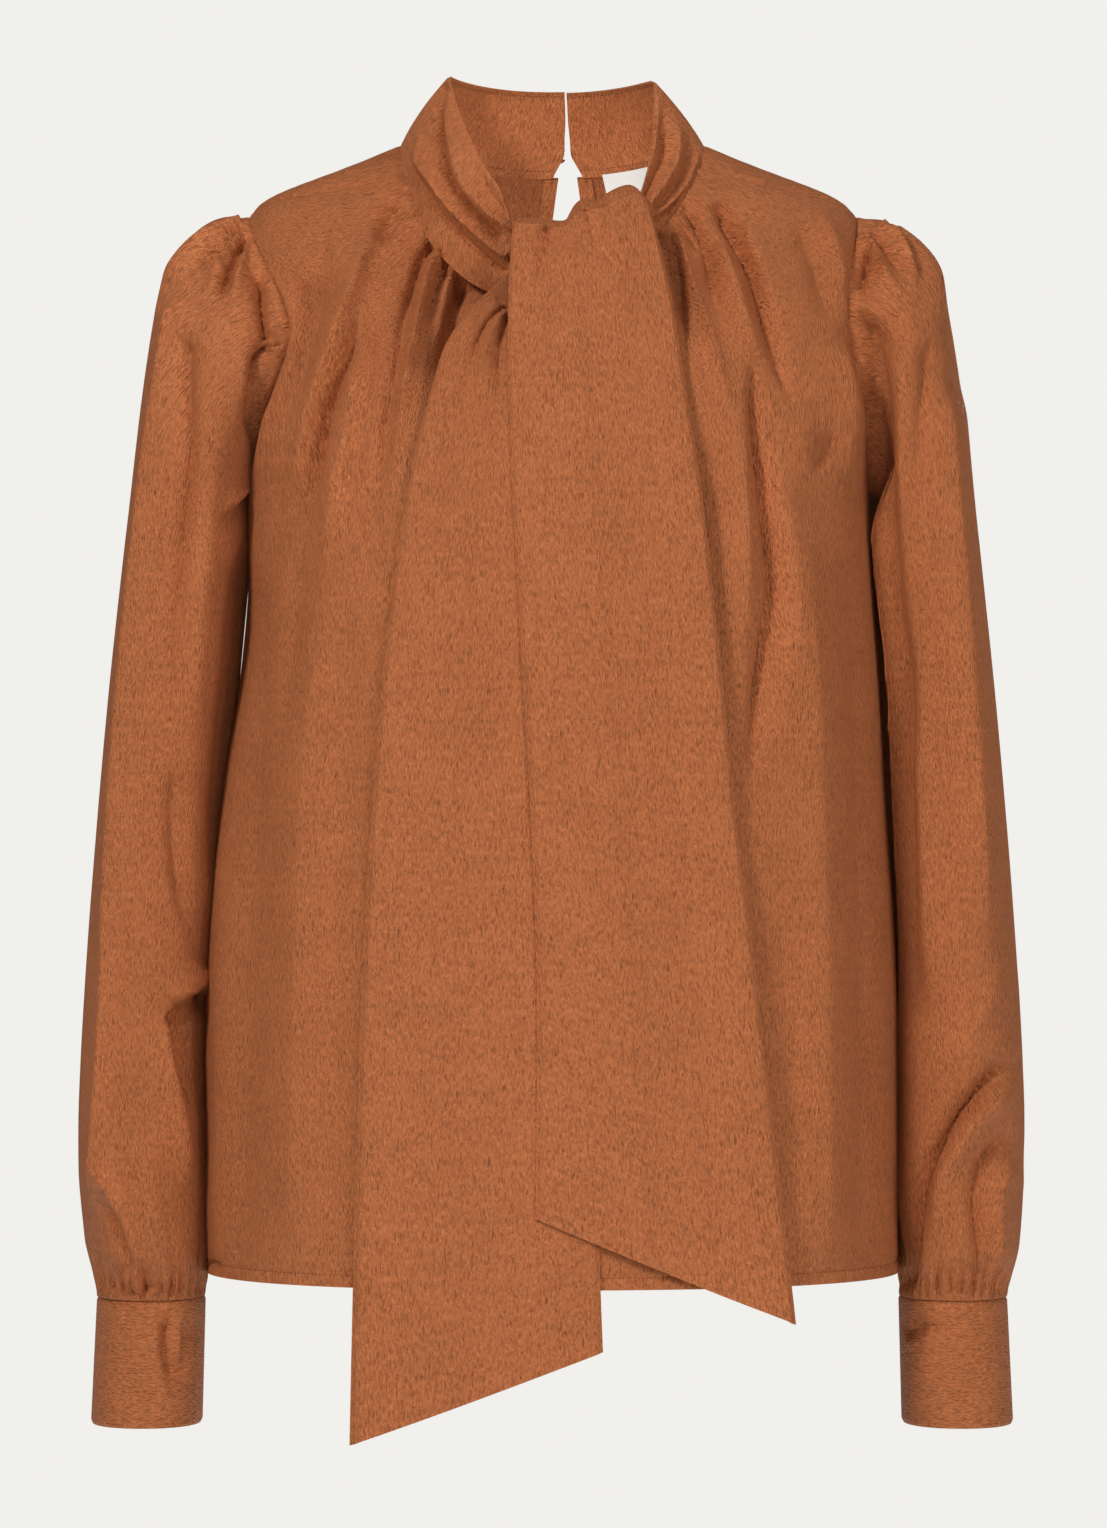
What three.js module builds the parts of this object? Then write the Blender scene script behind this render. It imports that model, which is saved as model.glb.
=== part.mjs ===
// A woman's tie-neck blouse in crinkled satin, standing open and hollow as it does when it is worn.
// Millimetres, +Z up, the front faces -Y. The origin is the middle of the neck opening, level with
// the place where the collar meets the shoulders.
// The body is one surface that runs from the hem up to the neckline. A place on it is given by an
// angle round the body (0 at the centre front, 90 at the right of the picture, 180 at the back)
// and a level: -1 at the hem, 0 at the underarm and 1 at the neckline.
import * as THREE from "three";

// Driving dimensions
const CLOTH = 1.6; // wall of a single layer
const DOUBLE_CLOTH = 2.2; // wall of a faced piece: collar, cuffs
const SEAM_GAP = 0.4;
const HEM_Z = -625;
const UNDERARM_Z = -185;
const CUFF_TOP_Z = -635.5;
const CUFF_BOTTOM_Z = -706;
const CUFF_CENTRE_X = 224.3;
const CUFF_SLANT = 2.6; // a cuff's lower edge stands this much further out
const CUFF_HALF_WIDE = 30.3;
const CUFF_HALF_DEEP = 35;
const NECK_HALF_WIDE = 84;
const NECK_FRONT = 58; // how far the neckline reaches forward of the shoulder line
const NECK_BACK = 50;
const NECK_SIDE_Z = 9;
const NECK_FRONT_DROP = 93;
const NECK_PULL = 13; // the tie drags the neckline lower on the left of the picture
const NECK_BACK_DROP = 13;
const NECK_CURVE = { front: 1.35, back: 1.5 }; // how late the neckline drops towards its middle
const COLLAR_RIM_Z = 48.5;
const COLLAR_RIM_BACK_DROP = 4.5;
const COLLAR_RIM_HALF_WIDE = 57.5;
const BACK_OPENING_X = 8; // the back opening lies this far right of the middle
const SHOULDER_LEVEL = 0.53; // level of the shoulder point, where the sleeve seam crosses the top
const SHOULDER_SEAM_FORWARD = 15; // degrees that the back panel wraps forward at the neck
// Exponents of rounded-box sections: 1 is an ellipse, and less is squarer
const ROUNDNESS = 2 / 2.25;
const SLEEVE_ROUNDNESS = 0.92;
const CUFF_ROUNDNESS = 0.94;

const COPPER = { color: 0xa5613d, roughness: 0.5, metalness: 0 };
const COPPER_INSIDE = { color: 0x8d4e2f, roughness: 0.6, metalness: 0 };
const LABEL_WHITE = { color: 0xd8d8d4, roughness: 0.7, metalness: 0 };

// Horizontal sections of the body below the underarm: how far it reaches each way
const BODY_SECTIONS = [
  { z: -185, left: 165, right: 177, front: 112, back: 97 },
  { z: -230, left: 169, right: 179.5, front: 118, back: 98 },
  { z: -290, left: 175, right: 184, front: 121, back: 96 },
  { z: -360, left: 182.5, right: 187.5, front: 122, back: 95 },
  { z: -445, left: 191, right: 192.5, front: 122, back: 97 },
  { z: -530, left: 193, right: 194, front: 122, back: 99 },
  { z: -640, left: 193, right: 193.5, front: 121, back: 101 },
];

// How the body leaves the neckline: the fall in degrees, and the pull of each end of the curve
const YOKE_SHAPE = {
  front: { fall: 48, neckPull: 40, bodyPull: 45 },
  side: { fall: 24, neckPull: 124, bodyPull: 193 },
  back: { fall: 58, neckPull: 60, bodyPull: 90 },
};
const SIDE_LEAN = { left: -0.05, right: 0.02 }; // how far the sides lean in above the underarm
const YOKE_SPREAD = 0.6; // the yoke runs more sideways than straight out from the neck
const LEAN_STEP = 10; // the height over which the body's slope at the underarm is measured

// Armholes: how many degrees each edge cuts into its panel at the middle of its height
const ARMHOLE_CUT = { leftFront: 31, rightFront: 21, leftBack: 27, rightBack: 24 };
const ARMHOLE_FULLNESS = 0.7; // less makes the cut's top and bottom rounder

// Horizontal sections of a sleeve from the bicep to the cuff, measured out from the centre front
const SLEEVE_SECTIONS = [
  { z: -215, out: 237.5, inner: 168, front: -57, back: 60 },
  { z: -300, out: 247, inner: 176, front: -55, back: 59 },
  { z: -392, out: 255.4, inner: 184, front: -53, back: 57 },
  { z: -459, out: 260.7, inner: 190, front: -54, back: 56 },
  { z: -526, out: 263.8, inner: 192, front: -57, back: 54 },
  { z: -571, out: 263.3, inner: 191, front: -55, back: 51 },
  { z: -605, out: 261, inner: 191, front: -49, back: 46 },
  { z: -624, out: 257.2, inner: 192, front: -41, back: 40 },
  { z: -635.1, out: 254.6, inner: 194.4, front: -35.4, back: 35.4 },
];
const SLEEVE_BEND_Z = -215;
const BODY_CLEARANCE = 2;
const HEM_CLEARANCE = 25; // a sleeve stays clear of the body down to this far below the hem

// Soft folds of the body. Each runs down from x0, z0 through x1, z1 to x2, z2, stands up by rise
// (or sinks, where it is negative), and is so wide on its left and its right
const FRONT_FOLDS = [
  { x0: -97, z0: -48, x1: -133, z1: -167, x2: -158, z2: -400, rise: 5.5, left: 18, right: 12 },
  { x0: -92, z0: -62, x1: -117, z1: -150, x2: -143, z2: -350, rise: -5, left: 10, right: 13 },
  { x0: -60, z0: -70, x1: -84, z1: -150, x2: -104, z2: -300, rise: 4.5, left: 12, right: 11 },
  { x0: -134, z0: -240, x1: -148, z1: -390, x2: -155, z2: -625, rise: -3.2, left: 17, right: 15 },
  { x0: -110, z0: -240, x1: -124, z1: -400, x2: -132, z2: -660, rise: 2.8, left: 15, right: 12 },
  { x0: 64, z0: -50, x1: 75, z1: -115, x2: 92, z2: -270, rise: -4.2, left: 10, right: 10 },
  { x0: 78, z0: -50, x1: 95, z1: -115, x2: 110, z2: -260, rise: 4, left: 11, right: 12 },
  { x0: 93, z0: -25, x1: 116, z1: -85, x2: 138, z2: -190, rise: -4, left: 12, right: 13 },
  { x0: 108, z0: -90, x1: 124, z1: -235, x2: 108, z2: -420, rise: -4.4, left: 13, right: 13 },
  { x0: 136, z0: -60, x1: 150, z1: -220, x2: 160, z2: -560, rise: 4.2, left: 15, right: 14 },
  { x0: 128, z0: -330, x1: 132, z1: -460, x2: 136, z2: -660, rise: 3, left: 15, right: 15 },
];
const BACK_FOLDS = [
  { x0: -122, z0: -70, x1: -128, z1: -260, x2: -140, z2: -625, rise: 4, left: 16, right: 12 },
  { x0: -84, z0: -60, x1: -88, z1: -280, x2: -98, z2: -560, rise: -4, left: 13, right: 14 },
  { x0: -46, z0: -50, x1: -52, z1: -250, x2: -56, z2: -625, rise: 3.2, left: 12, right: 14 },
  { x0: -12, z0: -150, x1: -8, z1: -380, x2: -14, z2: -625, rise: -3, left: 15, right: 13 },
  { x0: 34, z0: -80, x1: 36, z1: -300, x2: 42, z2: -610, rise: 3.6, left: 13, right: 14 },
  { x0: 78, z0: -60, x1: 82, z1: -290, x2: 90, z2: -625, rise: -4.2, left: 14, right: 13 },
  { x0: 118, z0: -75, x1: 124, z1: -270, x2: 136, z2: -600, rise: 4, left: 13, right: 16 },
];
const FOLD_FADE = 0.24; // share of a fold's length over which it dies out at each end
const SLEEVE_FOLD_FADE = { inner: 50, outer: 80 }; // degrees from the side next to the body
const SLEEVE_HEAD_FADE = 0.75; // level above which a sleeve's long folds die out
const SEAM_FADE = 13; // degrees over which folds die out towards a seam
const NECK_FADE = { from: 0.86, share: 0.8 }; // folds lose this share from this level to the neck

// Gathers of the front where it is sewn to the collar: place in degrees, depth and length
const NECK_GATHERS = [
  { at: -72, deep: 1.6, long: 40 },
  { at: -62, deep: 2.6, long: 62 },
  { at: -53, deep: 3.2, long: 80 },
  { at: -44, deep: 3.6, long: 95 },
  { at: -35, deep: 3.4, long: 90 },
  { at: -25, deep: 2.6, long: 60 },
  { at: -15, deep: 2.4, long: 55 },
  { at: -5, deep: 2.4, long: 55 },
  { at: 6, deep: 2.4, long: 55 },
  { at: 17, deep: 2.6, long: 60 },
  { at: 28, deep: 3.0, long: 70 },
  { at: 38, deep: 3.4, long: 85 },
  { at: 47, deep: 3.6, long: 95 },
  { at: 56, deep: 3.0, long: 72 },
  { at: 64, deep: 2.4, long: 58 },
  { at: 72, deep: 1.8, long: 42 },
];
const GATHER_WIDE = 3.1; // degrees
const GATHER_START = 8; // a gather reaches its depth this far from its seam

// Gathers of the sleeve head round the armhole: 0 at the shoulder point, positive to the front
const SLEEVE_HEAD_GATHERS = [
  { at: -104, deep: 1.4, long: 24 },
  { at: -88, deep: 2.2, long: 44 },
  { at: -72, deep: 2.8, long: 58 },
  { at: -56, deep: 3.0, long: 50 },
  { at: -40, deep: 3.2, long: 66 },
  { at: -25, deep: 3.2, long: 52 },
  { at: -10, deep: 3.4, long: 60 },
  { at: 5, deep: 3.2, long: 70 },
  { at: 19, deep: 3.6, long: 58 },
  { at: 33, deep: 3.4, long: 78 },
  { at: 48, deep: 3.2, long: 50 },
  { at: 63, deep: 2.8, long: 62 },
  { at: 79, deep: 2.4, long: 40 },
  { at: 96, deep: 1.6, long: 30 },
];
const HEAD_GATHER_WIDE = 5.2;

// Gathers of the sleeve where it is sewn into the cuff. Their depth swells slowly round the sleeve,
// their length varies by a share, and they flatten over the seam between two heights
const CUFF_GATHERS = { count: 18, deep: 2.4, long: 62, swells: 5, lengths: 3, vary: 0.35 };
const CUFF_GATHER_SEAM = { from: -14, to: 12 };

// Long soft folds of a sleeve: angle round it (0 outside, 90 front) at the top, middle and bottom
const SLEEVE_FOLDS = [
  { x0: 34, z0: -70, x1: 42, z1: -260, x2: 36, z2: -560, rise: 4.2, left: 14, right: 10 },
  { x0: 62, z0: -110, x1: 68, z1: -270, x2: 60, z2: -450, rise: -5, left: 12, right: 12 },
  { x0: 92, z0: -240, x1: 96, z1: -360, x2: 84, z2: -470, rise: 3.5, left: 14, right: 12 },
  { x0: 118, z0: -420, x1: 92, z1: -520, x2: 78, z2: -610, rise: -4.5, left: 10, right: 12 },
  { x0: 60, z0: -470, x1: 52, z1: -550, x2: 58, z2: -620, rise: 3.4, left: 12, right: 10 },
  { x0: 268, z0: -140, x1: 280, z1: -330, x2: 274, z2: -590, rise: 4, left: 14, right: 14 },
  { x0: 318, z0: -90, x1: 312, z1: -300, x2: 320, z2: -580, rise: -4, left: 12, right: 14 },
];

// The tie. It hangs over the front on a soft surface of its own, this far forward at each height
const TIE_DRAPE = [
  { z: -20, forward: 68, half: 120 },
  { z: -45, forward: 76, half: 130 },
  { z: -86, forward: 87, half: 150 },
  { z: -115, forward: 95.5, half: 162 },
  { z: -150, forward: 109, half: 170 },
  { z: -190, forward: 117.4, half: 176 },
  { z: -240, forward: 122.3, half: 182 },
  { z: -300, forward: 124.6, half: 187 },
  { z: -400, forward: 125.2, half: 192 },
  { z: -625, forward: 125, half: 198 },
  { z: -720, forward: 125, half: 199 },
];
// Edges of the hanging ends, from the knot down. The slanted ends are the last rows
const UNDER_END = [
  { leftX: -45, leftZ: -63, rightX: 2, rightZ: -84 },
  { leftX: -52.5, leftZ: -84, rightX: 6, rightZ: -96 },
  { leftX: -60.5, leftZ: -117, rightX: 9, rightZ: -122 },
  { leftX: -68.5, leftZ: -148, rightX: 11, rightZ: -152 },
  { leftX: -77, leftZ: -184, rightX: 12.5, rightZ: -186 },
  { leftX: -86.5, leftZ: -247, rightX: 15, rightZ: -247 },
  { leftX: -93.4, leftZ: -314, rightX: 17, rightZ: -314 },
  { leftX: -98.7, leftZ: -384, rightX: 19, rightZ: -384 },
  { leftX: -103, leftZ: -465, rightX: 21.5, rightZ: -465 },
  { leftX: -106, leftZ: -560, rightX: 24, rightZ: -560 },
  { leftX: -108, leftZ: -640, rightX: 25.8, rightZ: -612 },
  { leftX: -109.4, leftZ: -706, rightX: 27.4, rightZ: -654 },
];
const UNDER_END_PLEATS = [
  { x0: -34, z0: -80, x1: -43, z1: -105, x2: -56, z2: -150, rise: -3.4, left: 3.5, right: 4.5 },
  { x0: -29, z0: -86, x1: -37, z1: -130, x2: -44, z2: -240, rise: 3.4, left: 6, right: 5 },
  { x0: -25, z0: -86, x1: -28, z1: -112, x2: -25, z2: -160, rise: -2.6, left: 4, right: 4 },
];
const OVER_END = [
  { leftX: -23, leftZ: -62, rightX: 58.5, rightZ: -56 },
  { leftX: -24, leftZ: -86, rightX: 65, rightZ: -86 },
  { leftX: -24, leftZ: -118, rightX: 69.6, rightZ: -118 },
  { leftX: -23.2, leftZ: -152, rightX: 74.6, rightZ: -152 },
  { leftX: -21, leftZ: -200, rightX: 81.4, rightZ: -200 },
  { leftX: -18.2, leftZ: -250, rightX: 87, rightZ: -250 },
  { leftX: -14.8, leftZ: -305, rightX: 92.6, rightZ: -305 },
  { leftX: -11.8, leftZ: -357, rightX: 98.6, rightZ: -365 },
  { leftX: -9.4, leftZ: -415, rightX: 107, rightZ: -430 },
  { leftX: -8, leftZ: -470, rightX: 114.5, rightZ: -495 },
  { leftX: -8.4, leftZ: -530, rightX: 123.5, rightZ: -572 },
  { leftX: -9.1, leftZ: -582, rightX: 131.3, rightZ: -641 },
];
// The top of the under end is tucked this far back under the collar, over so many rows
const UNDER_END_TUCK = { back: 13, rows: 2.2 };
const OVER_END_LIFT = 2.7; // the end on top lies this far in front of the one beneath
// The over end rises behind the front of the collar, turns over its rim and falls in front of it
const OVER_TURN = [
  { leftX: -12, leftY: -44, leftZ: -78, rightX: 26, rightY: -30, rightZ: -66 },
  { leftX: -14, leftY: -48, leftZ: -58, rightX: 32, rightY: -30, rightZ: -42 },
  { leftX: -18, leftY: -57, leftZ: -42.6, rightX: 42, rightY: -34, rightZ: -22 },
  { leftX: -20.5, leftY: -68, leftZ: -39.1, rightX: 48, rightY: -46, rightZ: -18.4 },
  { leftX: -22, leftY: -78, leftZ: -43, rightX: 52, rightY: -57, rightZ: -26 },
];
const OVER_CROWN = { high: 9, from: 1, to: 3 }; // it bulges forward where it turns, between two rows

// Lengthwise folds of the collar on each side of the neck: share of its height at the back end
// and at the front end
const COLLAR_FOLDS = {
  left: [
    { from: -112, to: 4, back: 0.86, front: 0.58, rise: -4.2, wide: 0.075 },
    { from: -92, to: 4, back: 0.26, front: 0.46, rise: 3, wide: 0.08 },
    { from: -80, to: 4, back: 0.14, front: 0.34, rise: -2.6, wide: 0.06 },
  ],
  right: [
    { from: 112, to: 30, back: 0.74, front: 0.6, rise: -3.6, wide: 0.09 },
    { from: 96, to: 30, back: 0.3, front: 0.42, rise: 2.6, wide: 0.11 },
    { from: 96, to: 30, back: 0.12, front: 0.2, rise: -2.2, wide: 0.07 },
  ],
};
// A fold keeps to its back height, then moves over to its front one. It dies out over a share of
// its length at each end, and over the seam at the neckline
const COLLAR_FOLD = { course: 0.7, start: 0.35, end: 0.85, seam: 0.06 };
// The rim of each side: how soon it falls towards the front, how straight it runs sideways, and
// how much lower it is pressed under the tie, between two angles
const COLLAR_RIM = {
  left: { drop: 87, fall: 1.6, spread: 1, pressed: 13, pressFrom: 32, pressTo: 21 },
  right: { drop: 98, fall: 1, spread: 0.43, pressed: 3, pressFrom: 60, pressTo: 45 },
};
const COLLAR_FRONT_END = { left: 8, right: 14 }; // degrees past the centre front, under the tie

// The keyhole below the back opening: half its width at each depth below the neckline
const KEYHOLE = [
  { down: 0, half: 3.4 },
  { down: 18, half: 7 },
  { down: 38, half: 9.6 },
  { down: 62, half: 9.8 },
  { down: 82, half: 7 },
  { down: 96, half: 2.6 },
  { down: 102, half: 0 },
];
const KEYHOLE_LEAST_HALF = 0.6;
const KEYHOLE_END_LEVEL = 0.46;
const KEYHOLE_BINDING_WIDE = 8;
const KEYHOLE_BINDING_BELOW = 0.05; // level by which the binding runs on below the slit
const BINDING_THICK = 0.9;

// The label spans these angles of the back neckline, and hangs this far inside and below it
const LABEL = { from: 126, to: 161, tall: 26, inward: 2.4, below: 0.4, thick: 0.8 };

const radians = THREE.MathUtils.degToRad;
const lerp = THREE.MathUtils.lerp;
const clamp = THREE.MathUtils.clamp;
const smoothstep = THREE.MathUtils.smoothstep;
const vector = (x, y, z) => new THREE.Vector3(x, y, z);

// A power that keeps its sign
function signedPower(value, exponent) {
  return Math.sign(value) * Math.abs(value) ** exponent;
}

// A smooth curve through the rows of a table whose first column falls or rises steadily
function along(table, key, column, at) {
  const rising = table[1][key] > table[0][key] ? 1 : -1;
  let i = 0;
  while (i < table.length - 2 && rising * at > rising * table[i + 1][key]) i++;
  const slope = (a, b) => (table[b][column] - table[a][column]) / (table[b][key] - table[a][key]);
  const span = table[i + 1][key] - table[i][key];
  const startSlope = i > 0 ? slope(i - 1, i + 1) : slope(i, i + 1);
  const endSlope = i < table.length - 2 ? slope(i, i + 2) : slope(i, i + 1);
  const t = clamp((at - table[i][key]) / span, 0, 1);
  const past = at - table[i][key] - t * span;
  const [a, b] = [table[i][column], table[i + 1][column]];
  const [ta, tb] = [startSlope * span, endSlope * span];
  const curve =
    a * (1 + 2 * t) * (1 - t) ** 2 + ta * t * (1 - t) ** 2 +
    b * t * t * (3 - 2 * t) + tb * t * t * (t - 1);
  return curve + past * (t > 0 ? endSlope : startSlope);
}

// How far a table of long folds lifts the cloth at a place
function foldRelief(folds, across, z) {
  let lift = 0;
  for (const f of folds) {
    const t = (z - f.z0) / (f.z2 - f.z0);
    if (t <= 0 || t >= 1) continue;
    const middle = (f.z1 - f.z0) / (f.z2 - f.z0);
    const bow = (f.x1 - lerp(f.x0, f.x2, middle)) / (middle * (1 - middle));
    const offset = across - (lerp(f.x0, f.x2, t) + bow * t * (1 - t));
    const fade = smoothstep(t, 0, FOLD_FADE) * (1 - smoothstep(t, 1 - FOLD_FADE, 1));
    lift += f.rise * fade * Math.exp(-((offset / (offset < 0 ? f.left : f.right)) ** 2));
  }
  return lift;
}

// How far a table of gathers sinks the cloth, at an angle and a distance from the seam that
// holds them
function gatherRelief(gathers, wide, angle, distance) {
  let sink = 0;
  for (const g of gathers) {
    const fade = 1 - smoothstep(distance, 0, g.long);
    sink -= g.deep * fade * Math.exp(-(((angle - g.at) / wide) ** 2));
  }
  return sink * smoothstep(distance, 0, GATHER_START);
}

// The neckline, at an angle round the neck
function neckline(angle) {
  const [s, c] = [Math.sin(radians(angle)), Math.cos(radians(angle))];
  const front = c > 0;
  const drop = front
    ? (NECK_FRONT_DROP - NECK_PULL * s) * c ** NECK_CURVE.front
    : NECK_BACK_DROP * (-c) ** NECK_CURVE.back;
  return vector(NECK_HALF_WIDE * s, -(front ? NECK_FRONT : NECK_BACK) * c, NECK_SIDE_Z - drop);
}

// A horizontal section of the body below the underarm
function bodySection(angle, z) {
  const [s, c] = [Math.sin(radians(angle)), Math.cos(radians(angle))];
  const side = along(BODY_SECTIONS, "z", s < 0 ? "left" : "right", z);
  const depth = along(BODY_SECTIONS, "z", c > 0 ? "front" : "back", z);
  return vector(side * signedPower(s, ROUNDNESS), -depth * signedPower(c, ROUNDNESS), z);
}

// A value of the yoke's shape at an angle, between the front's or back's and the side's
function yokeValue(name, angle) {
  const c = Math.cos(radians(angle));
  return lerp(YOKE_SHAPE.side[name], YOKE_SHAPE[c > 0 ? "front" : "back"][name], c * c);
}

// The body's plain surface, without folds
function bodyPlain(angle, level) {
  if (level <= 0) return bodySection(angle, lerp(UNDERARM_Z, HEM_Z, -level));
  const neck = neckline(angle);
  const fall = radians(yokeValue("fall", angle));
  const out = vector(Math.sin(radians(angle)), -Math.cos(radians(angle)) * YOKE_SPREAD, 0)
    .normalize().multiplyScalar(Math.cos(fall)).setZ(-Math.sin(fall));
  const body = bodySection(angle, UNDERARM_Z);
  const lean = body.clone().sub(bodySection(angle, UNDERARM_Z - LEAN_STEP)).divideScalar(LEAN_STEP);
  const sine = Math.sin(radians(angle));
  lean.x = lerp(lean.x, sine > 0 ? -SIDE_LEAN.right : SIDE_LEAN.left, sine * sine);
  const nearNeck = neck.clone().addScaledVector(out, yokeValue("neckPull", angle));
  const nearBody = body.clone().addScaledVector(lean, yokeValue("bodyPull", angle));
  return new THREE.CubicBezierCurve3(body, nearBody, nearNeck, neck).getPoint(level);
}

// A unit normal of a surface that takes two numbers, by small steps
function normalOf(surface, a, b, stepA, stepB) {
  const alongA = surface(a + stepA, b).sub(surface(a - stepA, b));
  const alongB = surface(a, b + stepB).sub(surface(a, b - stepB));
  return alongA.cross(alongB).normalize();
}

const BODY_STEP = { angle: 0.3, level: 0.004 };

// The body's surface with its folds and neck gathers
function bodySurface(angle, level) {
  const plain = bodyPlain(angle, level);
  const turned = angle > 180 ? angle - 360 : angle;
  const side = turned < 0 ? "left" : "right";
  const edges = ["Front", "Back"].map((face) => Math.abs(panelEdge(side, face, level)));
  const isFront = Math.abs(turned) < (edges[0] + edges[1]) / 2;
  const folds = isFront ? FRONT_FOLDS : BACK_FOLDS;
  // Folds die out before the side, armhole and shoulder seams
  const fromSeam = isFront ? edges[0] - Math.abs(turned) : Math.abs(turned) - edges[1];
  const seamFade = smoothstep(fromSeam, 0, SEAM_FADE);
  const neckFade = 1 - NECK_FADE.share * smoothstep(level, NECK_FADE.from, 1);
  let lift = foldRelief(folds, plain.x, plain.z) * seamFade * neckFade;
  if (isFront && level > 0) {
    const distance = plain.distanceTo(neckline(angle));
    lift += gatherRelief(NECK_GATHERS, GATHER_WIDE, angle, distance);
  }
  const normal = normalOf(bodyPlain, angle, level, BODY_STEP.angle, BODY_STEP.level);
  return plain.addScaledVector(normal, lift);
}

// The panels' edges: the armhole and the shoulder seam, as an angle at each level
function panelEdge(side, face, level) {
  const sign = side === "left" ? -1 : 1;
  if (level <= 0) return sign * 90;
  if (level >= SHOULDER_LEVEL) {
    const share = (level - SHOULDER_LEVEL) / (1 - SHOULDER_LEVEL);
    return sign * (90 - SHOULDER_SEAM_FORWARD * share);
  }
  const cut = ARMHOLE_CUT[side + face] * Math.sin((Math.PI * level) / SHOULDER_LEVEL) ** ARMHOLE_FULLNESS;
  return sign * (face === "Front" ? 90 - cut : 90 + cut);
}

// A closed wall of cloth over one or more patches of a surface. A patch is a list of rows, each a
// list of [a, b] places whose a rises; rows may have different counts. closed patches join round
function wall(patches, surface, thickness, step, closed = false, outward = 1) {
  const places = new Map();
  const outer = [];
  const inner = [];
  const indexOf = ([a, b]) => {
    const p = surface(a, b);
    const key = p.toArray().map((v) => v.toFixed(3)).join();
    if (!places.has(key)) {
      const n = normalOf(surface, a, b, step.a, step.b).multiplyScalar(outward);
      places.set(key, outer.length);
      outer.push(p);
      inner.push(p.clone().addScaledVector(n, -thickness));
    }
    return places.get(key);
  };
  const triangles = [];
  for (const rows of patches) {
    const numbered = rows.map((row) => {
      const points = row.map((place) => ({ a: place[0], index: indexOf(place) }));
      if (closed) points.push({ a: row[0][0] + 360, index: points[0].index });
      return points;
    });
    for (let r = 0; r < rows.length - 1; r++) zip(numbered[r], numbered[r + 1], triangles);
  }
  const flip = facesInward(outer, inner, triangles[0]);
  return solidFrom(outer, inner, triangles.map((t) => (flip ? [t[0], t[2], t[1]] : t)));
}

// Triangles between two rows of points, whatever their counts
function zip(lower, upper, triangles) {
  let [i, j] = [0, 0];
  while (i < lower.length - 1 || j < upper.length - 1) {
    const [nextLow, nextUp] = [lower[i + 1], upper[j + 1]];
    const stepLow = !nextUp || (nextLow && nextLow.a <= nextUp.a);
    const triangle = [lower[i], stepLow ? nextLow : nextUp, upper[j]].map((point) => point.index);
    if (new Set(triangle).size === 3) triangles.push(triangle);
    if (stepLow) i++;
    else j++;
  }
}

function facesInward(outer, inner, [a, b, c]) {
  const face = outer[b].clone().sub(outer[a]).cross(outer[c].clone().sub(outer[a]));
  return face.dot(outer[a].clone().sub(inner[a])) < 0;
}

// Joins an outer skin, the same skin moved inwards, and a strip along every free edge
function solidFrom(outer, inner, triangles) {
  const n = outer.length;
  const edges = new Set(triangles.flatMap(([a, b, c]) => [`${a} ${b}`, `${b} ${c}`, `${c} ${a}`]));
  const index = triangles.flatMap(([a, b, c]) => [a, b, c, a + n, c + n, b + n]);
  for (const edge of edges) {
    const [a, b] = edge.split(" ").map(Number);
    if (!edges.has(`${b} ${a}`)) index.push(b, a, a + n, b, a + n, b + n);
  }
  const geometry = new THREE.BufferGeometry();
  const flat = [...outer, ...inner].flatMap((p) => p.toArray());
  geometry.setAttribute("position", new THREE.Float32BufferAttribute(flat, 3));
  geometry.setIndex(index);
  return geometry;
}

// Evenly spaced numbers from one end to the other
function spaced(from, to, count) {
  return Array.from({ length: count }, (_, i) => lerp(from, to, i / (count - 1)));
}

const blouse = new THREE.Group();

function addPiece(name, geometry, finish) {
  geometry.computeVertexNormals();
  const mesh = new THREE.Mesh(geometry, new THREE.MeshStandardMaterial(finish));
  mesh.name = name;
  blouse.add(mesh);
}

// Levels of the body's rows, and the degrees between their points: closest at the gathers
const BODY_ROWS = [
  { level: -1, front: 7.5, back: 7.5 },
  { level: -0.84, front: 7.5, back: 7.5 },
  { level: -0.67, front: 7.5, back: 7.5 },
  { level: -0.5, front: 5, back: 7.5 },
  { level: -0.35, front: 5, back: 7.5 },
  { level: -0.22, front: 5, back: 7.5 },
  { level: -0.1, front: 5, back: 7.5 },
  { level: 0, front: 3.75, back: 7.5 },
  { level: 0.09, front: 2.5, back: 7.5 },
  { level: 0.19, front: 2.5, back: 7.5 },
  { level: 0.29, front: 2.5, back: 7.5 },
  { level: 0.38, front: 2.5, back: 7.5 },
  { level: 0.46, front: 2.5, back: 7.5 },
  { level: SHOULDER_LEVEL, front: 2.5, back: 7.5 },
  { level: 0.62, front: 2.5, back: 7.5 },
  { level: 0.72, front: 2.5, back: 7.5 },
  { level: 0.82, front: 2.5, back: 7.5 },
  { level: 0.9, front: 2.5, back: 7.5 },
  { level: 0.96, front: 2.5, back: 7.5 },
  { level: 1, front: 2.5, back: 7.5 },
];
const BODY_MESH_STEP = { a: BODY_STEP.angle, b: BODY_STEP.level };

// The angle that half a seam gap takes up at a place on the body
function gapAngle(angle, level) {
  const p = bodyPlain(angle, level);
  return THREE.MathUtils.radToDeg(SEAM_GAP / 2 / Math.hypot(p.x, p.y));
}

const LEAST_SPACE = 0.35; // share of a full space that the first and last may shrink to

// Two end angles and every multiple of a number of degrees that lies well between them
function anglesBetween(from, to, degrees) {
  const inside = [];
  for (let a = Math.ceil(from / degrees) * degrees; a < to; a += degrees) {
    if (Math.min(a - from, to - a) > degrees * LEAST_SPACE) inside.push(a);
  }
  return [from, ...inside, to];
}

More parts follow.
